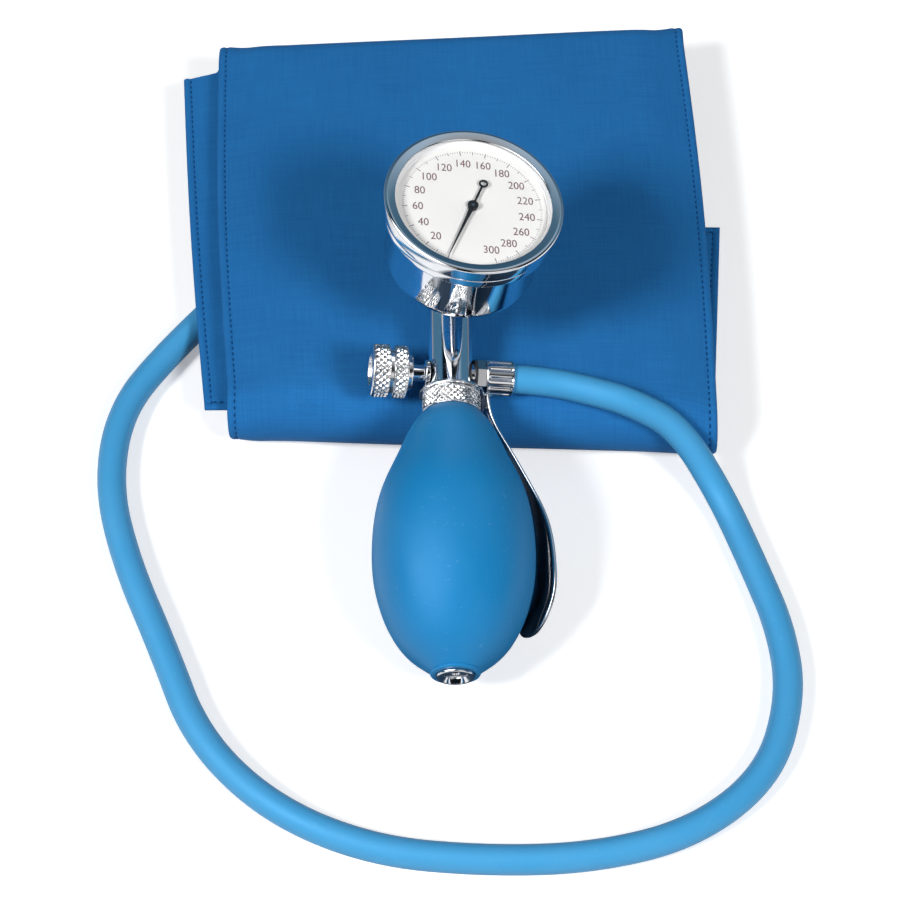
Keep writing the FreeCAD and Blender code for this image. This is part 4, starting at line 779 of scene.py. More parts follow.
# %% Valve body and boss
turn_piece("valve_body_bar", [
    (0.0, -13.5), (5.5, -13.5), (5.5, -6.5, 0.2), (7.25, -6.5, 0.5), (7.25, -5.2), (7.25, 35.4),
    (7.25, 39.0, 2.4), (0.0, 39.0),
], TO_GAUGE_END, CHROME, "valve_body", closed=False)
turn_piece("gauge_boss", [(0.0, 1.0), (6.0, 1.0), (6.0, 8.6, 0.4), (4.05, 8.6)], GAUGE, CHROME,
           closed=False)

# %% [markdown]
# ## Knurls
# A diamond knurl is rolled into the metal by two wheels whose ridges slant opposite ways. Two
# triangle waves in the angle and the height stand for the two sets of grooves: the surface is the
# lower of the two. It fades out at the band's ends, where the wheels stop.

# %% Knurled nut and knob
RADIUS_SLACK = 0.0001
KNURL_FADE = 0.0003


def band(height, low, high, soft):
    """One between two heights, falling to zero over a soft length at each end."""
    return np.clip(np.minimum(height - low, high - height) / soft, 0, 1)


def diamond_knurl(count, pitch, depth, bands, full_radius):
    """Radius change of a diamond knurl: -depth x the larger of two slanted triangle waves."""
    def ripple(radius, height, angle):
        """Only points on the full radius and inside a band move inwards."""
        turn, rise = angle * count / (2 * np.pi), height / pitch
        left, right = [np.abs(slant % 1.0 - 0.5) * 2 for slant in (turn + rise, turn - rise)]
        inside = np.maximum.reduce([band(height, low, high, KNURL_FADE) for low, high in bands])
        inside = inside * (radius > full_radius - RADIUS_SLACK)
        return -depth * np.maximum(left, right) ** 1.5 * inside
    return ripple


turn_piece("bulb_nut_knurled", [
    (5.55, 7.5), (9.4, 7.5, 0.45), (9.4, 14.1, 0.45), (5.25, 14.1), (5.25, 13.55), (5.55, 13.55),
], TO_BULB_END, KNURLED_CHROME, "bulb_nut", spacing=0.00022, steps=480,
    ripple=diamond_knurl(count=30, pitch=0.0019, depth=0.0006, bands=[(0.0079, 0.0137)],
                         full_radius=0.0094))
turn_piece("release_knob_knurled", [
    (1.5, 12.9), (5.7, 12.9, 0.3), (5.7, 14.6), (8.6, 14.6, 0.6), (8.6, 19.2, 0.35), (7.4, 19.2),
    (7.4, 20.4), (8.6, 20.4, 0.35), (8.6, 26.2, 0.7), (5.2, 26.2, 0.2), (5.0, 25.4, 0.2),
    (0.0, 25.3), (0.0, 23.5), (1.5, 23.5),
], TO_LEFT, KNURLED_CHROME, "release_knob", body="release_screw", spacing=0.00025, steps=480,
    ripple=diamond_knurl(count=25, pitch=0.0021, depth=0.0007,
                         bands=[(0.0150, 0.0190), (0.0207, 0.0256)], full_radius=0.0086))
turn_piece("release_bonnet_turned", [
    (1.6, 7.25), (4.4, 7.25, 0.2), (4.4, 8.6, 0.3), (2.6, 9.0, 0.1), (2.6, 12.6, 0.2),
    (2.2, 12.6), (2.2, 11.0), (1.6, 11.0),
], TO_LEFT, CHROME, "release_bonnet")

# %% [markdown]
# ## Hose connection
# A fluted union nut clamps the hose tail. Each of its twelve flutes is a shallow groove along the
# nut, so the radius dips with the angle between the two rounded ends.

# %% Fluted nut
FLUTES = 12
FLUTE_DEPTH = 0.0005
FLUTE_ENDS, FLUTE_FADE = (0.0114, 0.0196), 0.0006
UNION_RADIUS = 0.00585


def fluted(radius, height, angle):
    """The radius dips by a raised cosine power at each flute, between the nut's two ends."""
    wave = (0.5 + 0.5 * np.cos(angle * FLUTES)) ** 3
    outside = radius > UNION_RADIUS - 0.00015
    return -FLUTE_DEPTH * wave * band(height, *FLUTE_ENDS, FLUTE_FADE) * outside


turn_piece("hose_union_nut", [
    (3.05, 10.9), (5.85, 10.9, 0.5), (5.85, 20.0, 0.6), (3.05, 20.0, 0.2),
], TO_RIGHT, CHROME, "coupling_nut", spacing=0.0003, ripple=fluted, steps=288)

# %% [markdown]
# ## Rubber bulb
# The bulb is a moulded egg: a narrow neck that the nut meets, the widest part nearer the tail, and
# a thick lip round the intake valve. Its outline is a smooth curve through stations, each given by
# its radius and its distance from the valve body. The curve is a natural cubic spline: it bends as
# little as it can on its way, like a thin strip of wood held at the stations.

# %% Smooth curve
def run_along(path):
    """Distance along a path from its first point to each of its points."""
    return np.r_[0, np.cumsum(np.linalg.norm(np.diff(path, axis=0), axis=1))]


def smooth_curve(stations, count):
    """A natural cubic spline through stations, by chord length, as (count, 2) points."""
    stations = np.asarray(stations, float)
    along = run_along(stations)
    step = np.diff(along)
    matrix = (np.diag(np.r_[1, 2 * (step[:-1] + step[1:]), 1]) + np.diag(np.r_[step[:-1], 0], -1)
              + np.diag(np.r_[0, step[1:]], 1))
    slopes = np.zeros_like(stations)
    slopes[1:-1] = 6 * np.diff(np.diff(stations, axis=0) / step[:, None], axis=0)
    bend = np.linalg.solve(matrix, slopes)
    at = np.linspace(0, along[-1], count)
    cell = np.clip(np.searchsorted(along, at) - 1, 0, len(step) - 1)
    width = step[cell]
    before, after = (along[cell + 1] - at) / width, (at - along[cell]) / width
    return (before[:, None] * stations[cell] + after[:, None] * stations[cell + 1]
            + ((before ** 3 - before)[:, None] * bend[cell]
               + (after ** 3 - after)[:, None] * bend[cell + 1]) * (width ** 2)[:, None] / 6)


# %% [markdown]
# The soft wall flattens a little where it lies on the table. A straight bore runs down the middle,
# for the parts that plug into both ends.

# %% Bulb
BULB_STATIONS = np.array([
    (9.3, 14.3), (11.3, 16.75), (14.5, 22.4), (16.5, 27.0), (18.5, 31.6), (20.9, 37.0),
    (23.3, 43.9), (24.6, 50.0), (25.4, 57.5), (25.6, 63.0), (25.4, 68.9), (24.8, 74.0),
    (23.7, 79.0), (22.0, 84.5), (19.5, 90.0), (17.0, 94.0), (12.8, 98.4), (9.2, 101.2),
    (7.75, 102.4)])
TABLE_GAP = 0.0002
BULB_STEPS = 192
bulb_side = smooth_curve(BULB_STATIONS, 90) / 1000
bulb_lip = rounded([(7.75, 102.4), (7.9, 102.9, 0.25), (7.5, 103.5, 0.3), (6.1, 103.5, 0.15),
                    (6.1, 102.0)], closed=False)
bulb_profile = np.concatenate([[[0.00525, 0.0143]], bulb_side, bulb_lip[1:], [[0.00525, 0.1]]])
bulb_points = lathe_points(bulb_profile, TO_BULB_END, steps=BULB_STEPS)
bulb_points[..., 2] = np.maximum(bulb_points[..., 2], TABLE_GAP)
finish_piece("moulded_bulb", bulb_points, grid_faces(len(bulb_profile), BULB_STEPS, True, True),
             BULB_RUBBER, "bulb", slot="blue_rubber")

# %% [markdown]
# ## Intake valve
# A flanged brass barrel sits in the bulb's lip. A drilled disc is pressed into its mouth and keeps
# the ball in.

# %% Intake valve
turn_piece("intake_valve_rim", [
    (4.0, 100.0), (5.9, 102.4), (6.0, 104.4, 0.5), (4.9, 104.5, 0.2), (3.5, 103.2, 0.2),
    (3.4, 102.2), (3.0, 102.2),
], TO_BULB_END, CHROME, "intake_valve_body")
turn_piece("intake_drilled_disc", [
    (0.9, 102.0), (3.35, 102.0), (3.35, 103.0, 0.2), (1.3, 103.0, 0.25), (0.9, 102.5, 0.1),
], TO_BULB_END, CHROME, "intake_retainer", steps=96)

# %% [markdown]
# ## Palm spoon
# The spoon is pressed from one sheet, so it is worked out the same way: first its flat outline,
# narrow at the root and wide towards the rounded tip, with the direction that points out of it, and
# the middle line that the grid starts from.

# %% Spoon outline
SPOON_PROFILE = [(11.0, 6.7), (11.5, 11.0), (12.9, 16.3), (14.4, 19.3), (17.4, 24.1), (20.8, 30.0),
                 (24.7, 37.6), (28.0, 45.5), (30.4, 55.5), (31.2, 66.0), (30.6, 75.5), (27.6, 84.4)]
SPOON_SIDE = [(5.0, 6.7), (5.0, 12.0), (5.1, 20.0), (5.9, 30.0), (7.3, 38.0), (9.0, 45.0),
              (10.8, 54.0), (11.5, 64.0), (11.2, 73.0), (9.4, 79.0), (6.3, 82.9), (3.2, 84.2),
              (0.3, 84.5)]
OUTLINE_POINTS = 240
TIP_FAN = 11.0
ROOT_HALF, ROOT_POINTS = 5.0, 9

spoon_curve = smooth_curve(SPOON_PROFILE, 400)
half_side = smooth_curve(SPOON_SIDE, OUTLINE_POINTS // 2)
root_edge = np.column_stack([np.linspace(-ROOT_HALF, ROOT_HALF, ROOT_POINTS + 2)[1:-1],
                             np.full(ROOT_POINTS, half_side[0, 1])])
outline = np.concatenate([half_side, half_side[::-1] * (-1, 1), root_edge])
along_edge = np.roll(outline, -1, 0) - np.roll(outline, 1, 0)
outward = unit(np.column_stack([along_edge[:, 1], -along_edge[:, 0]]))
spine = np.column_stack([np.zeros(len(outline)), np.clip(
    outline[:, 1], SPOON_SIDE[0][1] + ROOT_HALF, SPOON_SIDE[-1][1] - TIP_FAN)])
print("spoon outline of", len(outline), "points")

# %% [markdown]
# The outline is then wrapped on the dish, a curve of radius against distance along the bulb. The
# grid's rows go round the outline. Its columns run from the middle line out to the rim, over a
# small rolled bead that catches the light, and back on the other side.

# %% Palm spoon
SPOON_TURN = 108.0
SPOON_THICK = 0.9
BEAD_RADIUS = 0.62
SKIN_STEPS, BEAD_STEPS = 14, 9
COLLAR_LOW, COLLAR_HIGH = 6.55, 7.45


def on_spoon(flat, lift):
    """Wrap (width, height) points on the dish: a = asin(width / r), x = (r + lift) cos a."""
    radius = np.interp(flat[..., 1], spoon_curve[:, 1], spoon_curve[:, 0])
    turn = np.arcsin(np.clip(flat[..., 0] / radius, -0.99, 0.99))
    return np.stack([(radius + lift) * np.cos(turn), (radius + lift) * np.sin(turn),
                     flat[..., 1]], -1) / 1000


share = np.linspace(0, 1, SKIN_STEPS)[None, :, None]
skin_flat = spine[:, None] + (outline - spine)[:, None] * share
bead_turn = np.linspace(np.pi / 2, -np.pi / 2, BEAD_STEPS)
bead_flat = outline[:, None] + outward[:, None] * BEAD_RADIUS * np.cos(bead_turn)[None, :, None]
spoon_grid = np.concatenate([
    on_spoon(skin_flat, SPOON_THICK),
    on_spoon(bead_flat, SPOON_THICK / 2 + BEAD_RADIUS * np.sin(bead_turn)),
    on_spoon(skin_flat[:, ::-1], 0.0)], 1)
spoon_place = TO_BULB_END @ turned_to("Z", 90 - SPOON_TURN)
spoon_faces = grid_faces(*spoon_grid.shape[:2], True, False)
finish_piece("pressed_palm_spoon", carried(spoon_grid, spoon_place), spoon_faces, CHROME,
             "palm_spoon", slot="chrome", sharp=60)
turn_piece("spoon_collar", [
    (5.55, COLLAR_LOW), (10.4, COLLAR_LOW, 0.2), (10.4, COLLAR_HIGH, 0.2), (5.55, COLLAR_HIGH),
], TO_BULB_END, CHROME)
tab_points, tab_faces = plate(rectangle(5.6, -ROOT_HALF, 11.9, ROOT_HALF), COLLAR_LOW / 1000,
                              COLLAR_HIGH / 1000)
finish_piece("spoon_root", carried(tab_points, spoon_place), tab_faces, CHROME, slot="chrome")

# %% [markdown]
# ## The folded cuff
# The cuff is one long strip of double cloth with the bladder between its two skins. It lies as a
# flap, turns up in a wide front fold, runs back as the top layer, turns down in a tight back fold
# and comes forward again as the middle layer. The folds aren't quite square, so each layer lies at
# its own small angle. A line here is given by its left and right end.

# %% Lines that the strip passes
FLAP_BACK = ((-71.0, 14.0), (87.4, 14.0))
FLAP_FRONT = ((-77.9, -67.2), (81.0, -73.2))
TOP_FRONT = ((-78.5, -67.2), (80.6, -73.2))
TOP_BACK = ((-87.5, 73.3), (76.7, 82.9))
MIDDLE_BACK = ((-100.2, 71.8), (59.0, 81.1))
MIDDLE_FRONT = ((-86.2, -71.7), (71.5, -71.2))
CUFF_WIDTH = 157.5
EDGE_GRADES = np.array([0, 0.06, 0.2, 0.4, 0.7, 1.1, 1.6, 2.0, 2.25, 2.5, 2.75, 3.0, 3.5, 4.3, 5.5,
                        7, 9, 11.5])
EDGE_REACH = 14.0

# Distances across the strip: close together at both edges, then evenly spaced.
across = np.concatenate([EDGE_GRADES, np.linspace(EDGE_REACH, CUFF_WIDTH - EDGE_REACH, 58),
                         CUFF_WIDTH - EDGE_GRADES[::-1]])
across_share = across / CUFF_WIDTH
side_gap = np.minimum(across, CUFF_WIDTH - across)
print("strip of", len(across), "columns")

# %% [markdown]
# The strip's thickness depends on the distance from its nearest edge. The rim is round, the hem is
# thin, the stitches pull a shallow groove into it, and further in the bladder makes it swell.

# %% Hem profile
FULL_THICK, HEM_THICK = 7.2, 2.3
HEM_RIM, HEM_STITCH, HEM_SEAM = 1.5, 2.5, 3.4
GROOVE_DEPTH, GROOVE_WIDTH = 0.7, 0.5
SWELL_REACH, SWELL_POWER = 17.0, 2.4


def round_rise(gap, reach):
    """The height of a quarter circle: zero at an edge and one at the reach from it."""
    return np.sqrt(1 - (1 - np.clip(gap / reach, 0, 1)) ** 2)


def hem_profile(gap):
    """Thickness against distance from an edge: rim, hem, groove, then the smooth swell."""
    groove = GROOVE_DEPTH * np.exp(-((gap - HEM_STITCH) / GROOVE_WIDTH) ** 2)
    swell = 1 - (1 - np.clip((gap - HEM_SEAM) / SWELL_REACH, 0, 1)) ** SWELL_POWER
    return HEM_THICK * round_rise(gap, HEM_RIM) - groove + (FULL_THICK - HEM_THICK) * swell


# %% [markdown]
# The strip's base is a grid whose rows lie across it. A flat layer takes its rows from one line to
# the next, and a fold swings them through half a turn from one level to the other.

# %% Layers and folds
TOP_LEVEL, MIDDLE_LEVEL = 18.75, 11.25
FLAP_LENGTH, MIDDLE_LENGTH = 77.0, 142.0


def rows_between(first, last, share_x, share_y, height, out_x=0.0, out_y=0.0):
    """Rows from one line to another by their shares of the way in X and Y, moved out a little."""
    first, last = [left + (right - left) * across_share[:, None]
                   for left, right in (np.array(first), np.array(last))]
    flat = first + (last - first) * np.stack([share_x, share_y], -1) + np.stack(
        np.broadcast_arrays(out_x, out_y), -1)
    return np.dstack([flat, np.broadcast_to(height, flat.shape[:2])])


def flat_rows(first, last, shares, level, bow):
    """Rows at one level; the side edges bow out by bow x sin(pi share)."""
    shares = np.asarray(shares)[:, None]
    out = bow * np.sin(np.pi * shares) * (2 * across_share - 1)
    return rows_between(first, last, shares, shares, level, out_x=out)


def fold_rows(first, last, low, high, way, bulge, count, late=1, hem_bulge=1.0, tuck=0.0):
    """Rows round a fold: a half turn from one level to the other that bulges along Y.

    With the angle t from 0 to pi, a row's height is (1 - cos t) / 2 of the way up, and it lies
    sin t x bulge further along the way, less by the tuck towards the last row. Its x is that share
    to the power late of the way to the last line. The thin hems bulge more, so that the fold's
    outer side stays straight.
    """
    angle = np.linspace(0, np.pi, count + 2)[1:-1, None]
    share = (1 - np.cos(angle)) / 2
    spare = (FULL_THICK - np.maximum(hem_profile(side_gap), HEM_THICK)) / 2
    out = way * (bulge + hem_bulge * spare) * np.sin(angle) * (1 - tuck * share)
    return rows_between(first, last, share ** late, share, low + (high - low) * share, out_y=out)


flap_shares = np.r_[EDGE_GRADES, np.arange(EDGE_REACH, FLAP_LENGTH, 2.5),
                    FLAP_LENGTH] / FLAP_LENGTH
middle_shares = np.r_[0, np.arange(3, MIDDLE_LENGTH - 12, 2.5),
                      MIDDLE_LENGTH - EDGE_GRADES[::-1]] / MIDDLE_LENGTH
strip_base = np.concatenate([
    flat_rows(FLAP_BACK, FLAP_FRONT, flap_shares, 0.0, 0.0),
    fold_rows(FLAP_FRONT, TOP_FRONT, 0.0, TOP_LEVEL, -1, TOP_LEVEL / 2, 26),
    flat_rows(TOP_FRONT, TOP_BACK, np.linspace(0, 1, 62), TOP_LEVEL, 1.6),
    fold_rows(TOP_BACK, MIDDLE_BACK, TOP_LEVEL, MIDDLE_LEVEL, 1, 4.8, 40, 12, 2.8, 0.9),
    flat_rows(MIDDLE_BACK, MIDDLE_FRONT, middle_shares, MIDDLE_LEVEL, 1.0)])
print("strip of", len(strip_base), "rows")

# %% [markdown]
# Each of the two skins lies half the thickness away from the strip's middle surface. Slow waves of
# less than half a millimetre keep the cloth from looking like a machined block.

# %% Skins of the strip
HEM_LIFT = 5.2
WAVE_HEIGHT = 0.35
step_along = np.linalg.norm(np.diff(strip_base, axis=0), axis=-1).mean(axis=1)
along = np.r_[0, np.cumsum(step_along)]
end_gap = np.minimum(along, along[-1] - along)
thick = np.minimum(hem_profile(side_gap)[None, :], hem_profile(end_gap)[:, None])
centre_rows = strip_base.copy()
centre_rows[..., 2] += np.maximum(thick, HEM_LIFT) / 2
rows_x, rows_y = strip_base[..., 0], strip_base[..., 1]
waves = (np.sin(rows_x / 23 + rows_y / 37 + 0.6) + np.sin(rows_x / 41 - rows_y / 19 + 2.1)
         + 0.6 * np.sin(rows_x / 13 + rows_y / 11)) / 2.6
calm = np.clip((np.minimum(side_gap[None, :], end_gap[:, None]) - 3) / 20, 0, 1)
thick = thick - WAVE_HEIGHT * calm * (1 + waves)
tangent_across = np.gradient(centre_rows, axis=1)
tangent_across[..., 2] = 0.0
face_way = unit(np.cross(np.gradient(centre_rows, axis=0), tangent_across))


def two_skins(picked, thickness):
    """The two skins of some of the strip's rows and columns, half the thickness off its middle."""
    half = face_way[picked] * thickness[..., None] / 2
    return centre_rows[picked] + half, centre_rows[picked] - half


def sewn_piece(name, skins, material, node, slot, **settings):
    """A closed sleeve from its two skins: each row runs out on the one and back on the other."""
    loop = np.concatenate([skins[0], skins[1][:, ::-1]], 1)
    return finish_piece(name, loop / 1000, grid_faces(*loop.shape[:2], False, True), material,
                        node, slot=slot, **settings)


skins = two_skins(np.s_[:], thick)
across_uv = np.concatenate([across, across[::-1]])
strip_uv = np.stack(np.broadcast_arrays(along[:, None], across_uv), -1) / 1000
cuff = sewn_piece("sewn_cuff_strip", skins, CLOTH, "cuff_sleeve", "blue_cloth", uv=strip_uv,
                  sharp=75)

# %% [markdown]
# ## Bladder
# The rubber bladder lies between the strip's two skins, from the middle of the top layer round the
# back fold to the front of the middle layer. It follows the same middle surface, three millimetres
# thinner than the strip, and it closes to a seam at its rim.

# %% Bladder
POCKET_BACK, POCKET_SEAM, POCKET_WIDTH = 8.0, 6.0, 131.0
PAST_FLAP, MIDDLE_POCKET = 95.0, 140.0
BLADDER_LESS, BLADDER_LEAST, SEAM_REACH = 3.0, 0.6, 4.0
in_pocket = (rows_y.mean(1) > POCKET_BACK) & (along > PAST_FLAP)
in_pocket |= along > along[-1] - MIDDLE_POCKET
rows = np.flatnonzero(in_pocket & (along < along[-1] - POCKET_SEAM))
columns = np.flatnonzero((across > POCKET_SEAM) & (across < POCKET_WIDTH))
bladder_gap = np.minimum(*[np.minimum(run - run[0], run[-1] - run).reshape(shape)
                           for run, shape in ((along[rows], (-1, 1)), (across[columns], (1, -1)))])
picked = np.ix_(rows, columns)
bladder_thick = np.clip(thick[picked] - BLADDER_LESS, BLADDER_LEAST, None)
bladder_thick *= round_rise(bladder_gap, SEAM_REACH)
sewn_piece("rubber_bladder", two_skins(picked, bladder_thick), BLACK_RUBBER, "bladder",
           "black_rubber")

# %% [markdown]
# ## Stitches
# A row of lock stitches runs round the strip, two and a half millimetres inside its edges. Each
# stitch is a short thread that dips into the cloth at both ends, and its thickness follows a sine.

# %% Stitches
STITCH_PITCH, STITCH_LENGTH, THREAD_RADIUS = 2.3, 1.7, 0.27
STITCH_MARGIN = 2.0
STITCH_UV = (0.0006, 0.002)
RINGS, SIDES = 7, 8
THREAD_SINK, THREAD_ARCH, THREAD_END = 0.10, 0.16, 0.02


def stitch_row(path, normals):
    """Stitches along a path (count, 3) with its surface normals, both evenly resampled."""
    run = run_along(path)
    starts = np.arange(STITCH_MARGIN, run[-1] - STITCH_MARGIN, STITCH_PITCH)
    places = starts[:, None] + np.linspace(0, STITCH_LENGTH, RINGS)[None, :]
    middle, up = [np.stack([np.interp(places, run, column) for column in values.T], -1)
                  for values in (path, normals)]
    side = np.cross(unit(np.gradient(middle, axis=1)), up)
    arch = np.sin(np.linspace(0, np.pi, RINGS))
    middle = middle + up * (THREAD_ARCH * arch - THREAD_SINK)[None, :, None]
    radius = THREAD_RADIUS * np.sqrt(np.clip(arch, 0, 1)) + THREAD_END
    turn = np.arange(SIDES)[:, None] * 2 * np.pi / SIDES
    round_way = side[:, :, None] * np.cos(turn) + up[:, :, None] * np.sin(turn)
    return middle[:, :, None] + round_way * radius[None, :, None, None]


def nearest(values, wanted):
    """Index of the value nearest to the wanted one."""
    return int(np.argmin(np.abs(values - wanted)))


paths = [(slice(3, -3), nearest(across, gap)) for gap in (HEM_STITCH, CUFF_WIDTH - HEM_STITCH)]
paths += [(nearest(along, gap), slice(4, -4)) for gap in (HEM_STITCH, along[-1] - HEM_STITCH)]
stitches = np.concatenate([stitch_row(skin[path], face_way[path] * sign)
                           for path in paths for skin, sign in zip(skins, (1, -1))]) / 1000
one_stitch = [*grid_faces(RINGS, SIDES, False, True), range(SIDES),
              range((RINGS - 1) * SIDES, RINGS * SIDES)]
stitch_points, stitch_faces = join_parts([(one.reshape(-1, 3), one_stitch) for one in stitches])
one_uv = np.stack(np.meshgrid(np.linspace(0, STITCH_UV[0], SIDES),
                              np.linspace(0, STITCH_UV[1], RINGS)), -1)
stitch_uv = np.broadcast_to(one_uv, stitches.shape[:3] + (2,))
finish_piece("hem_stitches", stitch_points, stitch_faces, THREAD, slot="blue_cloth", uv=stitch_uv)
print(len(stitches), "stitches")

# %% [markdown]
# ## Finishes of the pieces that keep their CAD shape
# The movement, the seals and the patches are right as they are, so they only get the finish that
# goes with their slot in the record.

# %% Finishes by slot
FINISHES = {
    "chrome": CHROME, "brass": BRASS, "steel": STEEL, "lens": LENS_GLASS,
    "dial_paint": DIAL_WHITE, "pointer_paint": POINTER_BLACK, "grey_plastic": GREY_PLASTIC,
    "blue_rubber": HOSE_RUBBER, "black_rubber": BLACK_RUBBER, "white_rubber": PACKING_WHITE,
    "blue_cloth": CLOTH, "hook_cloth": HOOK_PILE, "loop_cloth": LOOP_PILE,
}
for row in frame["record"]["subparts"]:
    node_materials = frame["nodes"][row["node"]].data.materials
    node_materials.clear()
    node_materials.append(FINISHES[row["material_slot"]])
hose.data.materials.append(HOSE_RUBBER)

# %% [markdown]
# ## Table
# The set lies on a plain white table. The camera sees it white, with a little light of its own.
# Light that bounces off it meets a middle grey, which keeps the dark parts dark. Chrome mirrors it
# white in front, with painted shade behind the set and a painted shadow under the handpiece, where
# the bulb and the metal parts stand in each other's light.

# %% Table
FLOOR_HALF = 0.5
FLOOR_CORNERS = ((-1, -1), (1, -1), (1, 1), (-1, 1))
TABLE_WHITE, TABLE_GREY = (0.94, 0.94, 0.94), (0.42, 0.42, 0.42)
# The tone, centre and size of the painted shadow that chrome mirrors under the handpiece.
PAINTED_SHADOW_TONE = (0.008, 0.025, 0.05)
PAINTED_SHADOW_CENTRE, PAINTED_SHADOW_SIZE = (0.012, -0.125, 0.0), (0.065, 0.075, 1.0)
CAMERA_LIFT = 0.34

floor_mesh = bpy.data.meshes.new("floor")
floor_mesh.from_pydata([(x * FLOOR_HALF, y * FLOOR_HALF, 0) for x, y in FLOOR_CORNERS], [],
                       [(0, 1, 2, 3)])
table_paint, tree, shader = new_material("white_table", Roughness=0.7,
                                         Emission_Color=(1.0, 1.0, 1.0))
rays = add(tree, "ShaderNodeLightPath").outputs
where = object_coordinates(tree)
# Painted shadow in the mirrored table: dark round the bulb's place, and dimmer behind the set.
painted_shadow_map = add(tree, "ShaderNodeMapping", {"Vector": where, "Location": PAINTED_SHADOW_CENTRE,
                                         "Scale": PAINTED_SHADOW_SIZE}, vector_type="TEXTURE")
reach = add(tree, "ShaderNodeVectorMath", {0: painted_shadow_map.outputs["Vector"]}, operation="LENGTH")
away_from_painted_shade = calc(tree, "MULTIPLY", remap(tree, reach.outputs["Value"], 0.9, 1.1),
                   remap(tree, parts_of(tree, where)["Y"], -0.03, 0.05, 1.0, 0.2))
tone = mix_tones(tree, away_from_painted_shade, PAINTED_SHADOW_TONE, TABLE_WHITE)
tone = mix_tones(tree, rays["Is Glossy Ray"], TABLE_GREY, tone)
tone = mix_tones(tree, rays["Is Camera Ray"], tone, TABLE_WHITE)
feed(shader["Base Color"], tone)
feed(shader["Emission Strength"], calc(tree, "MULTIPLY", rays["Is Camera Ray"], CAMERA_LIFT))
floor_mesh.materials.append(table_paint)
floor = placed("floor", floor_mesh)
print("table", 2 * FLOOR_HALF, "m wide")

# %% [markdown]
# ## Lamps
# Two soft lamps stand in front, one on each side, so the gauge throws a soft shadow on the cuff
# both ways. Chrome doesn't mirror them: it has panels of its own.

# %% Lamps
LAMP_TARGET = Vector((0.0, -0.04, 0.03))
LAMP_DISTANCE, LAMP_SIZE = 2.2, 0.60
LAMPS = {"left_light": ((-0.83, -0.60, 1.0), 38.0), "right_light": ((0.70, -0.75, 1.0), 30.5)}
for name, (way, power) in LAMPS.items():
    lamp = placed(name, bpy.data.lights.new(name, "AREA"))
    lamp.data.shape, lamp.data.size, lamp.data.energy = "DISK", LAMP_SIZE, power
    look_from(lamp, LAMP_TARGET, Vector(way).normalized(), LAMP_DISTANCE)
    lamp.visible_glossy = False
    print(name, "of", power, "W")

# %% [markdown]
# ## Surroundings
# Chrome shows only what stands round it, so it needs a room. Most of the room's light comes from a
# few soft round panels: two in front, one behind, and a strong one high on the left.

# %% Panels
PANELS = [((-0.5, -0.75, 0.55), 20, 26, 0.95), ((0.55, -0.75, 0.45), 18, 24, 0.95),
          ((0.30, 0.25, 0.92), 12, 34, 0.32)]
OVERHEAD_PANEL = ((-0.56, -0.12, 0.82), 16, 36, 6.0)

world = bpy.data.worlds.new("studio")
bpy.context.scene.world = world
world.use_nodes = True
sky = world.node_tree
direction = add(sky, "ShaderNodeTexCoord").outputs["Generated"]
toward = parts_of(sky, direction)


def panel(way, inner, outer, strength):
    """A soft round panel in the surroundings: full inside one angle and dark outside the other."""
    nearness = add(sky, "ShaderNodeVectorMath", {0: direction, 1: Vector(way).normalized()},
                   operation="DOT_PRODUCT")
    return remap(sky, nearness.outputs["Value"], math.cos(math.radians(outer)),
                 math.cos(math.radians(inner)), 0.0, strength)


# The panel over the bulb stops before it shows in the crest of the valve body.
overhead = calc(sky, "MULTIPLY", panel(*OVERHEAD_PANEL),
                remap(sky, toward["Y"], 0.10, 0.26, 1.0, 0.0))
brightness = calc(sky, "ADD", overhead, *[panel(*one_panel) for one_panel in PANELS])
print("surroundings of", len(PANELS) + 1, "panels")

# %% [markdown]
# The room itself is dark, in blue tones that change from front to back, with an unlit strip of
# ceiling. Below the horizon the chrome meets the white of the table.

# %% Room
ROOM_TONES = [(0.20, (0.006, 0.010, 0.014)), (0.36, (0.07, 0.19, 0.31)),
              (0.65, (0.08, 0.17, 0.25)), (0.95, (0.03, 0.08, 0.14))]
CEILING_TONE = (0.004, 0.007, 0.012)


def between(value, rise, fall):
    """One between two soft edges: it rises over the first pair and falls over the second."""
    return calc(sky, "MULTIPLY", remap(sky, value, *rise), remap(sky, value, *fall, 1.0, 0.0))


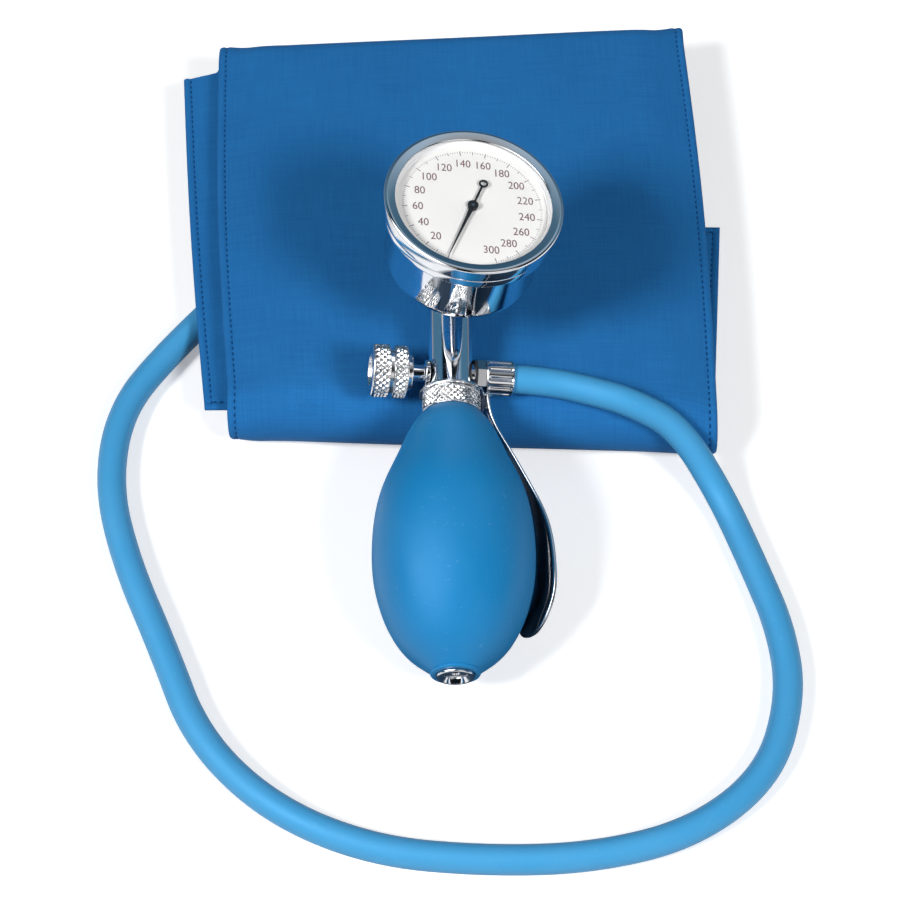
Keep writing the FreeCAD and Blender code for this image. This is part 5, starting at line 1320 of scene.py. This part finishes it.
room = add(sky, "ShaderNodeValToRGB", {"Fac": toward["Y"]})
while len(room.color_ramp.elements) < len(ROOM_TONES):
    room.color_ramp.elements.new(0.5)
for element, (place, tone) in zip(room.color_ramp.elements, ROOM_TONES):
    element.position = place
    element.color = (*tone, 1.0)
mirrored = mix_tones(sky, 1.0, room.outputs["Color"], brightness, "ADD")
# The unlit ceiling: a dark strip left of the middle, which the valve body's crest mirrors.
unlit = calc(sky, "MULTIPLY",
             between(calc(sky, "MULTIPLY", toward["X"], -1.0), (0.06, 0.10), (0.58, 0.68)),
             between(toward["Y"], (0.20, 0.26), (0.46, 0.54)), remap(sky, toward["Z"], 0.3, 0.4))
mirrored = mix_tones(sky, unlit, mirrored, CEILING_TONE)
below = calc(sky, "MULTIPLY", remap(sky, toward["Z"], -0.03, 0.0, 1.0, 0.0),
             remap(sky, toward["Y"], 0.15, 0.35, 1.0, 0.0))
mirrored = mix_tones(sky, below, mirrored, TABLE_WHITE)
print("room of", len(ROOM_TONES), "tones")

# %% [markdown]
# Only reflections see that room. Everything else gets an even, faint fill, and the camera sees
# plain white, so the kind of ray chooses between three backgrounds.

# %% Surroundings by kind of ray
FILL_TONE, FILL_STRENGTH = (0.85, 0.93, 1.0), 0.08
rays = add(sky, "ShaderNodeLightPath").outputs


def choose(mask, otherwise, given):
    """Mix two backgrounds by a kind of ray."""
    return add(sky, "ShaderNodeMixShader",
               {0: rays[mask], 1: otherwise, 2: given}).outputs["Shader"]


fill = sky.nodes["Background"]
seen = add(sky, "ShaderNodeBackground")
reflected = add(sky, "ShaderNodeBackground")
for background, tone, strength in ((fill, FILL_TONE, FILL_STRENGTH), (seen, (1.0, 1.0, 1.0), 1.0),
                                   (reflected, mirrored, 1.0)):
    feed(background.inputs["Color"], tone)
    feed(background.inputs["Strength"], strength)
studio = choose("Is Glossy Ray", fill.outputs["Background"], reflected.outputs["Background"])
studio = choose("Is Camera Ray", studio, seen.outputs["Background"])
feed(sky.nodes["World Output"].inputs["Surface"], studio)
bpy.context.scene.view_settings.view_transform = "Standard"
print("three backgrounds, one for each kind of ray")
